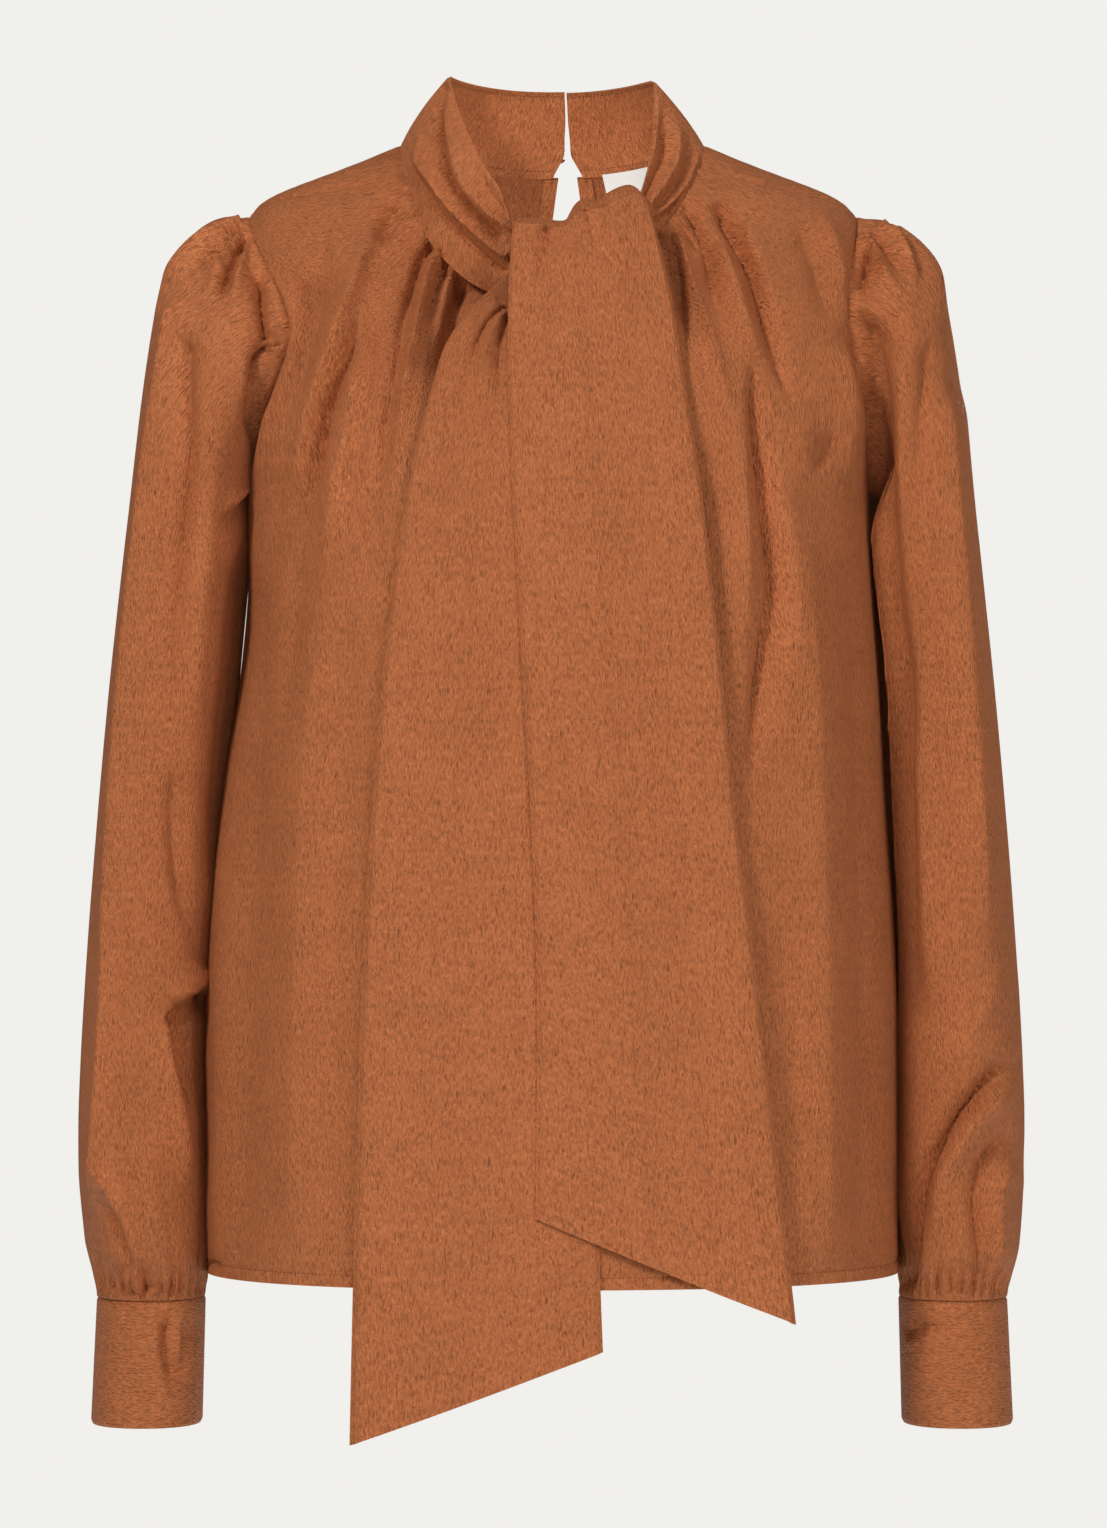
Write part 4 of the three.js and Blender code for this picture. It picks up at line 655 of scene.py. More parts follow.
# Creases are laid on the side of a tube that they are seen from, and fade between two sines
SLEEVE_BLEND, CUFF_BLEND, COLLAR_BLEND = (-0.15, 0.25), (-0.1, 0.3), (-0.05, 0.3)
# Distances over which creases die out towards a seam
BODY_FADE, SLEEVE_HEAD_FADE, SLEEVE_CUFF_FADE, CUFF_GATHER_SHUT = 12, 6, 5, 6


def sine_cosine(angle):
    angle = np.radians(angle)
    return np.sin(angle), np.cos(angle)


def neckline(angle):
    s, c = sine_cosine(angle)
    front_drop = (NECK_FRONT_DROP - NECK_PULL * s) * np.maximum(c, 0) ** NECK_CURVE_FRONT
    back_drop = NECK_BACK_DROP * np.maximum(-c, 0) ** NECK_CURVE_BACK
    depth = np.where(c > 0, NECK_FRONT, NECK_BACK)
    return points_of(NECK_HALF_WIDE * s, -depth * c, NECK_SIDE_Z - front_drop - back_drop)


def body_section(angle, z):
    """A horizontal section of the body below the underarm."""
    s, c = sine_cosine(angle)
    side = np.where(s < 0, through(BODY_SECTIONS, "left", z), through(BODY_SECTIONS, "right", z))
    depth = np.where(c > 0, through(BODY_SECTIONS, "front", z), through(BODY_SECTIONS, "back", z))
    return points_of(side * signed_power(s, ROUNDNESS), -depth * signed_power(c, ROUNDNESS), z)


def yoke_value(name, cosine):
    end = np.where(cosine > 0, YOKE_SHAPE["front"][name], YOKE_SHAPE["back"][name])
    return mix(YOKE_SHAPE["side"][name], end, cosine**2)


def body_plain(angle, level):
    """The body without its creases."""
    angle, level = np.broadcast_arrays(np.asarray(angle, float), np.asarray(level, float))
    s, c = sine_cosine(angle)
    neck = neckline(angle)
    fall = np.radians(yoke_value("fall", c))
    out = unit(points_of(s, -c * YOKE_SPREAD, 0)) * np.cos(fall)[..., None]
    out[..., 2] = -np.sin(fall)
    body = body_section(angle, UNDERARM_Z)
    lean = (body - body_section(angle, UNDERARM_Z - LEAN_STEP)) / LEAN_STEP
    side_lean = np.where(s > 0, SIDE_LEAN_RIGHT, SIDE_LEAN_LEFT)
    lean[..., 0] = mix(lean[..., 0], side_lean, s * s)
    near_neck = neck + out * yoke_value("neck_pull", c)[..., None]
    near_body = body + lean * yoke_value("body_pull", c)[..., None]
    upper = bezier(body, near_body, near_neck, neck, level)
    lower = body_section(angle, mix(UNDERARM_Z, HEM_Z, np.clip(-level, 0, PAST_HEM)))
    return np.where((level > 0)[..., None], upper, lower)


def body_normals(angle, level):
    return normals_of(body_plain, angle, level, *BODY_STEPS)


def neck_distance(points, angle):
    return np.linalg.norm(points - neckline(angle), axis=-1)


def panel_edge(side, face, level):
    """The armhole and the shoulder seam, as an angle at each level."""
    level = np.asarray(level, float)
    turn = np.clip(level / SHOULDER_LEVEL, 0, 1)
    cut = ARMHOLE_CUT[f"{side} {face}"] * np.abs(np.sin(math.pi * turn)) ** ARMHOLE_FULLNESS
    seam = SHOULDER_SEAM_FORWARD * np.clip((level - SHOULDER_LEVEL) / (1 - SHOULDER_LEVEL), 0, 1)
    edge = 90 + (-cut if face == "front" else cut) - seam
    return edge if side == "right" else -edge


def opening_angle(level):
    """The angle of the back opening, found by stepping towards its place."""
    from_middle = np.full(np.shape(level), OPENING_FIRST_GUESS)
    for _ in range(OPENING_GUESSES):
        from_middle = from_middle * BACK_OPENING_X / body_plain(180 - from_middle, level)[..., 0]
    return 180 - from_middle


def degree_wide(angle, level):
    return np.linalg.norm(body_plain(angle - 1, level) - body_plain(angle, level), axis=-1)


def keyhole_half_angle(level):
    angle = opening_angle(level)
    half = through(KEYHOLE, "half", neck_distance(body_plain(angle, level), angle))
    half = np.maximum(half, KEYHOLE_LEAST_HALF) / degree_wide(angle, level)
    return np.where(level > KEYHOLE_END_LEVEL, half, 0)


def edge_distance(angle, level, *edges):
    """The distance in millimetres to the nearest of some edges given as angles."""
    wide = degree_wide(angle, level)
    return np.min([np.abs(angle - edge) for edge in edges], axis=0) * wide


def body_finish(angle, level, lift, seams):
    """Body points with creases that die out at the seams, whose edges roll in, and with a hem."""
    plain = body_plain(angle, level)
    lift = lift * smooth(seams, 0, BODY_FADE)
    past_shoulder = smooth(level, SHOULDER_LEVEL, SHOULDER_LEVEL + ROLL_GOES)
    in_armhole = smooth(level, 0, ROLL_COMES) * (1 - past_shoulder)
    roll = SEAM_ROLL * mix(SHOULDER_ROLL_SHARE, 1, in_armhole)
    lift = lift - roll * (1 - smooth(seams, 0, SEAM_ROLL_WIDE))
    lift = lift - NECK_ROLL * (1 - smooth(neck_distance(plain, angle), 0, SEAM_ROLL_WIDE))
    above_hem = plain[:, 2] - HEM_Z
    lift = lift - HEM_GROOVE * np.exp(-(((above_hem - HEM_DEEP) / HEM_GROOVE_WIDE) ** 2))
    lift = lift + HEM_TURN * (above_hem < HEM_DEEP)
    return plain + body_normals(angle, level) * lift[:, None]


def front_surface(angle, level):
    plain = body_plain(angle, level)
    lift = creased(plain, FRONT_CREASES) * CREASE_DEPTH["front"]
    for table in (NECK_GATHERS, NECK_FINE_GATHERS):
        lift += (level > 0) * gathered(table, angle, neck_distance(plain, angle))
    edges = [panel_edge(side, "front", level) for side in SIGN]
    return body_finish(angle, level, lift, edge_distance(angle, level, *edges))


def back_surface(angle, level):
    plain = body_plain(angle, level)
    lift = creased(plain, BACK_CREASES) * CREASE_DEPTH["back"]
    aside = edge_distance(angle, level, opening_angle(level))
    flat = smooth(aside, KEYHOLE_FLAT["near"], KEYHOLE_FLAT["far"])
    lift *= mix(1, flat, level > KEYHOLE_FLAT["above"])
    edges = [panel_edge("left", "back", level) + 360, panel_edge("right", "back", level)]
    return body_finish(angle, level, lift, edge_distance(angle, level, *edges))


def armhole_place(side, turn):
    """The angle and level of a place on the armhole: 0 at the shoulder point, 90 at the front."""
    t = np.mod(turn, 360)
    share = np.where(t <= 180, t, 360 - t) / 180
    level = SHOULDER_LEVEL * (1 - share)
    front = panel_edge(side, "front", level)
    return np.where(t <= 180, front, panel_edge(side, "back", level)), level


def clear_of_body(points):
    z = np.minimum(points[..., 2], UNDERARM_Z)
    x, y = points[..., 0], points[..., 1]
    side = np.where(x < 0, through(BODY_SECTIONS, "left", z), through(BODY_SECTIONS, "right", z))
    depth = np.where(y < 0, through(BODY_SECTIONS, "front", z), through(BODY_SECTIONS, "back", z))
    power = 2 / ROUNDNESS
    across, deep = np.abs(x / (side + BODY_CLEARANCE)), np.abs(y / (depth + BODY_CLEARANCE))
    inside = np.minimum((across**power + deep**power) ** (1 / power), 1)
    inside = np.where(points[..., 2] > HEM_Z - HEM_CLEARANCE, inside, 1)
    return points_of(x / inside, y / inside, points[..., 2])


def sleeve_section(side, turn, z):
    """A sleeve's horizontal section: 0 outside, 90 at the front, 180 next to the body."""
    s, c = sine_cosine(turn)
    out, inner, front, back = (through(SLEEVE_SECTIONS, n, z) for n in ("out", "inner", "front", "back"))
    x = SIGN[side] * ((out + inner) / 2 + (out - inner) / 2 * signed_power(c, SLEEVE_ROUNDNESS))
    y = (front + back) / 2 - (back - front) / 2 * signed_power(s, SLEEVE_ROUNDNESS)
    return clear_of_body(points_of(x, y, z))


def sleeve_plain(side, turn, level):
    """A sleeve without its creases: level 1 at the armhole, 0 at the bicep and -1 at the cuff."""
    turn, level = np.broadcast_arrays(np.asarray(turn, float), np.asarray(level, float))
    s, c = sine_cosine(turn)
    top = (1 + c) / 2
    start = body_plain(*armhole_place(side, turn))
    end = sleeve_section(side, turn, SLEEVE_BEND_Z)
    puff = HEAD_PUFF
    pull = np.linalg.norm(start - end, axis=-1) * puff["pull"]
    outward = SIGN[side] * mix(puff["aside"], 1, top)
    upward = mix(-puff["sink"], puff["up"] / puff["out"], top)
    leave = unit(points_of(outward, -puff["forward"] * s, upward)) * mix(pull, puff["out"], top)[..., None]
    arrive = points_of(-SIGN[side] * puff["lean"] * top, 0, 1) * mix(pull, puff["down"], top)[..., None]
    head = bezier(end, end + arrive, start + leave, start, np.clip(level, 0, PAST_SEAM))
    arm = sleeve_section(side, turn, mix(SLEEVE_BEND_Z, SLEEVE_END_Z, np.clip(-level, 0, PAST_SEAM)))
    return np.where((level > 0)[..., None], head, arm)


def sleeve_surface(side, turn, level):
    plain = sleeve_plain(side, turn, level)
    s, _ = sine_cosine(turn)
    place = armhole_place(side, turn)
    distance = np.linalg.norm(plain - body_plain(*place), axis=-1)
    lift = creased(plain, SLEEVE_CREASES[f"{side} front"]) * smooth(s, *SLEEVE_BLEND)
    lift += creased(plain, SLEEVE_CREASES[f"{side} back"]) * smooth(-s, *SLEEVE_BLEND)
    lift *= CREASE_DEPTH["sleeve"]
    t = np.mod(turn, 360)
    lift += (level > 0) * gathered(SLEEVE_HEAD_GATHERS[side], np.where(t > 180, t - 360, t), distance)
    above_cuff = plain[:, 2] - SLEEVE_END_Z
    lift += (level < 0) * gathered(CUFF_GATHERS[side], t, above_cuff, shut=CUFF_GATHER_SHUT)
    lift = lift * smooth(np.abs(above_cuff), 0, SLEEVE_CUFF_FADE) * smooth(distance, 0, SLEEVE_HEAD_FADE)
    normal = normals_of(lambda t, b: sleeve_plain(side, t, b), turn, level, *SLEEVE_STEPS) * -SIGN[side]
    roll = -SEAM_ROLL * (1 - smooth(distance, 0, SEAM_ROLL_WIDE)) * (level > 0)
    return plain + normal * lift[:, None] + body_normals(*place) * roll[:, None]


def cuff_plain(side, turn, height):
    s, c = sine_cosine(turn)
    t = np.mod(turn, 360)
    over = CUFF_OVERLAP
    overlap = smooth(t, over["start"] - over["edge"], over["start"] + over["edge"])
    overlap = over["step"] * overlap * (1 - smooth(t, over["end"], over["end"] + over["ease"]))
    grow = overlap + CUFF_FLARE * (1 - height)
    centre = CUFF_CENTRE_X + CUFF_SLANT * (1 - height)
    x = SIGN[side] * (centre + (CUFF_HALF_WIDE + grow) * signed_power(c, CUFF_ROUNDNESS))
    y = -(CUFF_HALF_DEEP + grow) * signed_power(s, CUFF_ROUNDNESS)
    return points_of(x, y, mix(CUFF_BOTTOM_Z, CUFF_TOP_Z, height))


def cuff_normals(side, turn, height):
    return normals_of(lambda t, h: cuff_plain(side, t, h), turn, height, *CUFF_STEPS) * -SIGN[side]


def cuff_surface(side, turn, height):
    plain = cuff_plain(side, turn, height)
    s, _ = sine_cosine(turn)
    lift = creased(plain, CUFF_CREASES[side]) * smooth(s, *CUFF_BLEND) * CREASE_DEPTH["cuff"]
    edge = np.minimum(height, 1 - height) * (CUFF_TOP_Z - CUFF_BOTTOM_Z)
    lift = lift * smooth(edge, 0, CUFF_EDGE["fade"])
    lift = lift - CUFF_EDGE["roll"] * (1 - smooth(edge, 0, CUFF_EDGE["wide"]))
    return plain + cuff_normals(side, turn, height) * lift[:, None]


def collar_plain(side, angle, height):
    angle, height = np.broadcast_arrays(np.asarray(angle, float), np.asarray(height, float))
    s, c = sine_cosine(angle)
    tuck = smooth(angle, TUCK["start"], TUCK["full"]) * (1 - smooth(angle, TUCK["end"], TUCK["shut"]))
    out = TUCK["out"] * tuck
    base = neckline(angle) + points_of(s * out, -c * out, COLLAR_LIFT + TUCK["lift"] * tuck)
    rim = COLLAR_RIM[side]
    press = rim["pressed"] * (1 - smooth(np.abs(angle), rim["press_to"], rim["press_from"]))
    front = (c + np.hypot(c, RIM_EASE)) / 2
    depth = np.where(c > 0, RIM_DEPTH_FRONT, RIM_DEPTH_BACK)
    spread = np.where(c > 0, rim["spread"], RIM_BACK_SPREAD)
    top = points_of(
        COLLAR_RIM_HALF_WIDE * signed_power(s, spread),
        -depth * c,
        COLLAR_RIM_Z - rim["drop"] * front ** rim["fall"] - press
        - COLLAR_RIM_BACK_DROP * np.maximum(-c, 0) ** 2,
    )
    bow = COLLAR_BOW * 4 * height * (1 - height)
    return base + (top - base) * height[..., None] + points_of(s * bow, -c * bow, 0)


def collar_normals(side, angle, height):
    """They face outwards."""
    return normals_of(lambda a, h: collar_plain(side, a, h), angle, height, *COLLAR_STEPS)


def collar_surface(side, angle, height):
    plain = collar_plain(side, angle, height)
    _, c = sine_cosine(angle)
    edge = COLLAR_EDGE
    lift = creased(plain, COLLAR_CREASES[side]) * smooth(c, *COLLAR_BLEND) * CREASE_DEPTH["collar"]
    lift = lift * smooth(height, 0, edge["fade"]) * (1 - smooth(height, 1 - edge["fade"], 1))
    lift -= edge["roll"] * (1 - smooth(1 - height, 0, edge["wide"]))
    return plain + collar_normals(side, angle, height) * lift[:, None]


def tie_surface(x, z, lift):
    """The surface that the tie's ends hang on, this far forward of the body."""
    forward = through(TIE_DRAPE, "forward", z) + lift
    half = through(TIE_DRAPE, "half", z) + lift
    power = 2 / ROUNDNESS
    return points_of(x, -forward * (1 - np.abs(x / half) ** power) ** (1 / power), z)


def end_place(table, share, row):
    left_x, left_z, right_x, right_z = (
        through(table, name, row) for name in ("left_x", "left_z", "right_x", "right_z")
    )
    return mix(left_x, right_x, share), mix(left_z, right_z, share)


def edge_curl(share):
    """How far a hanging end's two edges curl back."""
    edge = np.minimum(share, 1 - share) * TIE_WIDE
    return TIE_CURL * (1 - smooth(edge, 0, TIE_CURL_WIDE))


def under_end_surface(share, row):
    x, z = end_place(UNDER_END, share, row)
    tuck = UNDER_END_TUCK["back"] * (1 - smooth(row, 0, UNDER_END_TUCK["rows"]))
    plain = tie_surface(x, z, 0)
    lift = creased(plain, UNDER_END_CREASES) * CREASE_DEPTH["tie"] - edge_curl(share)
    return plain + points_of(0, tuck - lift, 0)


def over_turn(share, row):
    x, y, z = (
        mix(through(OVER_TURN, "left_" + axis, row), through(OVER_TURN, "right_" + axis, row), share)
        for axis in "xyz"
    )
    grown = smooth(row, OVER_CROWN["start"], OVER_CROWN["end"])
    z = z + through(OVER_TOP, "rise", share) * through(OVER_TOP_ROWS, "share", row)
    return points_of(x, y - OVER_CROWN["high"] * 4 * share * (1 - share) * grown, z)


def over_end_plain(share, row):
    last = OVER_TURN_ROWS - 1
    turn = over_turn(share, np.minimum(row, last))
    x, z = end_place(OVER_END, share, np.maximum(row - OVER_TURN_ROWS, 0))
    hang = tie_surface(x, z, OVER_END_LIFT)
    return mix(turn, hang, np.clip(row - last, 0, 1)[..., None])


def over_end_surface(share, row):
    plain = over_end_plain(share, row)
    stand = OVER_END_STAND
    lift = creased(plain, OVER_END_CREASES) * CREASE_DEPTH["tie"] - edge_curl(share)
    lift += stand["out"] * smooth(share, stand["start"], stand["end"]) * smooth(row, *OVER_END_FREE)
    normal = -normals_of(over_end_plain, share, row, *TIE_STEPS)
    return plain + normal * (lift * smooth(row, *OVER_END_CREASED))[:, None]


# Making pieces


def pick(first, *others):
    """Selects these pieces and nothing else."""
    bpy.ops.object.select_all(action="DESELECT")
    for piece in (first, *others):
        piece.select_set(True)
    bpy.context.view_layer.objects.active = first


def added(name):
    """The object that was just added, under its own name."""
    piece = bpy.context.object
    piece.name = piece.data.name = name
    return piece


def read_points(piece):
    flat = np.empty(len(piece.data.vertices) * 3)
    piece.data.vertices.foreach_get("co", flat)
    return flat.reshape(-1, 3)


def write_points(piece, points):
    piece.data.vertices.foreach_set("co", (points * MM).ravel())
    piece.data.update()


def lay_cloth(name, across, along, surface, flat_map=None):
    """A grid whose places, as shares across and along, a surface turns into points. Its UV map is
    the cloth laid flat, in millimetres."""
    bpy.ops.object.select_all(action="DESELECT")
    bpy.ops.mesh.primitive_grid_add(x_subdivisions=across, y_subdivisions=along, size=1)
    piece = added(name)
    flat = read_points(piece)
    share, rise = flat[:, 0] + 0.5, flat[:, 1] + 0.5
    points = surface(share, rise)
    write_points(piece, points)
    column = np.rint(share * across).astype(int)
    row = np.rint(rise * along).astype(int)
    if flat_map:
        u, v = flat_map(share, rise)
    else:
        laid = np.empty((along + 1, across + 1, 3))
        laid[row, column] = points
        u = running(np.linalg.norm(np.diff(laid, axis=1), axis=-1).mean(0))[column]
        v = running(np.linalg.norm(np.diff(laid, axis=0), axis=-1).mean(1))[row]
    corners = np.empty(len(piece.data.loops), int)
    piece.data.loops.foreach_get("vertex_index", corners)
    piece.data.uv_layers[0].name = "cloth"
    piece.data.uv_layers[0].data.foreach_set("uv", np.stack([u, v], axis=1)[corners].ravel())
    return piece


def edit(piece, *steps):
    """Runs edit mode operators on all of a piece."""
    pick(piece)
    bpy.ops.object.mode_set(mode="EDIT")
    bpy.ops.mesh.select_all(action="SELECT")
    for step in steps:
        step()
    bpy.ops.object.mode_set(mode="OBJECT")


def merge_doubles():
    bpy.ops.mesh.remove_doubles(threshold=MERGE * MM)


def face_outwards():
    bpy.ops.mesh.normals_make_consistent(inside=False)


def join(name, *pieces):
    pick(*pieces)
    bpy.ops.object.join()
    return added(name)


def thicken(piece, thickness):
    """Gives cloth its thickness, inwards."""
    pick(piece)
    wall = piece.modifiers.new("wall", "SOLIDIFY")
    wall.thickness = thickness * MM
    wall.offset = -1
    bpy.ops.object.modifier_apply(modifier="wall")
    bpy.ops.object.shade_smooth_by_angle(angle=math.radians(SMOOTH_ANGLE))
    return piece


def hand_over(piece, material, node=None):
    piece.data.materials.clear()
    piece.data.materials.append(material)
    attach(piece, "root")
    if node:
        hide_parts(node)


# Materials


class Socket:
    """An output socket whose arithmetic adds Math nodes."""

    def __init__(self, finish, socket):
        self.finish = finish
        self.socket = socket

    def maths(self, operation, *values):
        inputs = {i: value for i, value in enumerate(values)}
        return self.finish.node("ShaderNodeMath", {"operation": operation}, inputs)

    def __add__(self, other):
        return self.maths("ADD", self, other)

    __radd__ = __add__

    def __mul__(self, other):
        return self.maths("MULTIPLY", self, other)

    __rmul__ = __mul__

    def __sub__(self, other):
        return self.maths("SUBTRACT", self, other)

    def __rsub__(self, other):
        return self.maths("SUBTRACT", other, self)

    def __abs__(self):
        return self.maths("ABSOLUTE", self)


class Finish:
    """A material and the nodes in it."""

    def __init__(self, name):
        self.material = bpy.data.materials.new(name)
        self.material.use_nodes = True
        self.tree = self.material.node_tree
        self.shader = self.tree.nodes["Principled BSDF"]

    def plug(self, node, inputs):
        for name, value in inputs.items():
            if isinstance(value, Socket):
                self.tree.links.new(value.socket, node.inputs[name])
            else:
                node.inputs[name].default_value = value

    def node(self, kind, settings=None, inputs=None, output=0):
        node = self.tree.nodes.new(kind)
        for name, value in (settings or {}).items():
            setattr(node, name, value)
        self.plug(node, inputs or {})
        return Socket(self, node.outputs[output])

    def noise(self, vector, scale, detail=2.0, roughness=0.5):
        inputs = {"Vector": vector, "Scale": scale, "Detail": detail, "Roughness": roughness}
        return self.node("ShaderNodeTexNoise", {"noise_dimensions": "3D"}, inputs)

    def stretched(self, vector, x, y, z=1.0):
        inputs = {"Vector": vector, "Scale": (x, y, z)}
        return self.node("ShaderNodeMapping", {"vector_type": "POINT"}, inputs)

    def mix_colour(self, factor, a, b):
        node = self.tree.nodes.new("ShaderNodeMix")
        node.data_type = "RGBA"
        self.plug(node, {0: factor, 6: a, 7: b})
        return Socket(self, node.outputs[2])

    def dress(self, **inputs):
        self.plug(self.shader, {name.replace("_", " "): value for name, value in inputs.items()})
        return self.material


def linear(red, green, blue):
    """A colour given as 0 to 255 sRGB."""
    def one(value):
        value /= 255
        return value / 12.92 if value <= 0.04045 else ((value + 0.055) / 1.055) ** 2.4

    return one(red), one(green), one(blue), 1.0


# The crepe's two colours. The crinkle's bump heights mix them, so they are partly painted shade in the
# troughs and painted light on the ridges, and partly the cloth's own uneven tone.
CREPE_SHADED_TONE, CREPE_LIT_TONE = (112, 61, 33), (196, 115, 71)


def crepe(name, across=False, tone=1.0, by_map=True):
    """Satin crepe with an irregular crinkle of short streaks along the grain. Its colour mixes a shaded and
    a lit copper by the crinkle's bump heights, which paints shade into the crinkle's troughs and light onto
    its ridges, and by a slow random change of tone.
    """
    finish = Finish(name)
    if by_map:
        place = finish.node("ShaderNodeUVMap", {"uv_map": "cloth"})
        scale = 1.0
    else:
        place = finish.node("ShaderNodeTexCoord", output=3)
        scale = 1 / MM

    def streaks(narrow, long, *settings):
        x, y = (long, narrow) if across else (narrow, long)
        return finish.noise(finish.stretched(place, x * scale, y * scale, narrow * scale), 1.0, *settings)

    wander = streaks(0.03, 0.03, 3.0)
    coarse = streaks(0.6, 0.13, 3.0, 0.6)
    fine = streaks(1.15, 0.3, 2.0)
    speckle = streaks(2.2, 1.0, 1.0)
    ridges = 1 - abs(coarse * 2 - 1) * 2
    height = ridges * 0.45 + fine * 0.7 + speckle * 0.3
    bump = finish.node("ShaderNodeBump", None, {"Strength": 1.0, "Distance": 1.6 * MM, "Height": height})
    shaded_tone, light = (linear(*(value * tone for value in colour)) for colour in (CREPE_SHADED_TONE, CREPE_LIT_TONE))
    # Painted shade and light: ridges, fine and speckle are the same noises as the bump, and they lighten
    # the colour on the crinkle's heights and darken it in its troughs. wander adds a slow random change of
    # tone.
    tone_and_painted_shade = (ridges * 0.5 + fine * 1.35 + speckle * 0.5 + wander * 0.3) - 0.83
    colour = finish.mix_colour(tone_and_painted_shade, shaded_tone, light)
    roughness = 0.34 + fine * 0.14 + wander * 0.08
    return finish.dress(
        Base_Color=colour, Roughness=roughness, Normal=bump,
        Specular_IOR_Level=0.62, Specular_Tint=linear(255, 196, 150),
        Sheen_Weight=0.06, Sheen_Roughness=0.4, Sheen_Tint=linear(255, 180, 130),
    )


def label_tape():
    """Plain white woven tape."""
    finish = Finish("label_tape")
    place = finish.node("ShaderNodeUVMap", {"uv_map": "cloth"})
    weave = finish.noise(finish.stretched(place, 3.2, 1.1), 1.0, 2.0)
    bump = finish.node("ShaderNodeBump", None, {"Strength": 0.4, "Distance": 0.2 * MM, "Height": weave})
    colour = finish.mix_colour(weave, linear(196, 196, 192), linear(222, 222, 218))
    return finish.dress(Base_Color=colour, Roughness=0.55 + weave * 0.1, Normal=bump)


CREPE = crepe("crepe_body")
CREPE_SASH = crepe("crepe_sash")
CREPE_BAND = crepe("crepe_band", across=True)
CREPE_BUTTON = crepe("crepe_button", by_map=False)
THREAD = crepe("thread", by_map=False, tone=0.74)
TAPE = label_tape()


# The body, sleeves and cuffs

ROW_SHARES, ROW_LEVELS = (0, 0.05, 0.35, 0.67, 1), (-1, -0.975, 0, SHOULDER_LEVEL, 1)
FRONT_ALLOWANCE, FRONT_ALLOWANCE_START = 0.035, 0.96
SLEEVE_SHARES, SLEEVE_LEVELS = (0, 0.2, 0.64, 1), (-1, -0.85, 0, 1)
ROW_EASE, EDGE_PULL = 0.6, 2.4
FLAT_DEGREE, FLAT_RISE = 2.9, (0, 440, 650)


def row_level(rise):
    """The level of a row. Rows lie closer together at the two ends of the armhole."""
    level = np.interp(rise, ROW_SHARES, ROW_LEVELS)
    eased = SHOULDER_LEVEL * (1 - np.cos(math.pi * level / SHOULDER_LEVEL)) / 2
    return np.where((level > 0) & (level < SHOULDER_LEVEL), mix(level, eased, ROW_EASE), level)


def column_angle(start, side_angle, edge, share):
    """A column's angle from a start to the body's side, drawn in to the armhole only near it."""
    return start + (side_angle - start) * share + (edge - side_angle) * share**EDGE_PULL


def body_cloth(name, grid, place, surface):
    def flat_map(share, rise):
        angle, level = place(share, rise)
        return angle * FLAT_DEGREE, np.interp(level, (-1, 0, 1), FLAT_RISE)

    return lay_cloth(name, *GRIDS[grid], lambda share, rise: surface(*place(share, rise)), flat_map)


def make_front():
    def place(share, rise):
        level = row_level(rise) + FRONT_ALLOWANCE * smooth(rise, FRONT_ALLOWANCE_START, 1)
        aside = 2 * share - 1
        left = column_angle(0, -90, panel_edge("left", "front", level), np.maximum(-aside, 0))
        right = column_angle(0, 90, panel_edge("right", "front", level), np.maximum(aside, 0))
        return np.where(aside < 0, left, right), level

    return thicken(body_cloth("front_cloth", "front", place, front_surface), SINGLE)


def back_half(side):
    def place(share, rise):
        level = row_level(rise)
        opening, half = opening_angle(level), keyhole_half_angle(level)
        if side == "right":
            return column_angle(opening - half, 90, panel_edge("right", "back", level), 1 - share), level
        return column_angle(opening + half, 270, panel_edge("left", "back", level) + 360, share), level

    return body_cloth("back_cloth", "back half", place, back_surface)


def make_back():
    piece = join("back_cloth", back_half("right"), back_half("left"))
    edit(piece, merge_doubles)
    return thicken(piece, SINGLE)


def close_tube(side, piece):
    """Merges a tube's two side edges, and faces it outwards."""
    edit(piece, merge_doubles)
    if side == "right":
        piece.data.flip_normals()
    return piece


def make_sleeve(side):
    def surface(share, rise):
        return sleeve_surface(side, share * 360, np.interp(rise, SLEEVE_SHARES, SLEEVE_LEVELS))

    tube = lay_cloth(f"sleeve_cloth_{side}", *GRIDS["sleeve"], surface)
    return thicken(close_tube(side, tube), SINGLE)


def make_cuff(side):
    def surface(share, height):
        return cuff_surface(side, share * 360, height)

    tube = lay_cloth(f"cuff_cloth_{side}", *GRIDS["cuff"], surface)
    return thicken(close_tube(side, tube), DOUBLE)


# The collar and the tie

BACK_OPENING = float(opening_angle(np.array(1.0)))


def collar_ends(side, height):
    """Where a half of the collar starts and ends. Its lower back corners round into the keyhole."""
    half = through(COLLAR_OPENING, "half", height)
    if side == "left":
        return BACK_OPENING - 360 + half, COLLAR_FRONT_END["left"]
    return COLLAR_FRONT_END["right"], BACK_OPENING - half


def make_collar(side):
    def surface(share, rise):
        height = mix(-COLLAR_BELOW, 1, rise)
        return collar_surface(side, mix(*collar_ends(side, height), share), height)

    return thicken(lay_cloth(f"collar_cloth_{side}", *GRIDS["collar"], surface), DOUBLE)


def make_end(name, grid, surface, rows):
    def woven(share, rise):
        closer_at_edges = share - TIE_EDGE_CLOSER * np.sin(2 * math.pi * share) / (2 * math.pi)
        return surface(closer_at_edges, rise * rows)

    piece = lay_cloth(name, *GRIDS[grid], woven)
    piece.data.flip_normals()
    return thicken(piece, DOUBLE)


# Small pieces


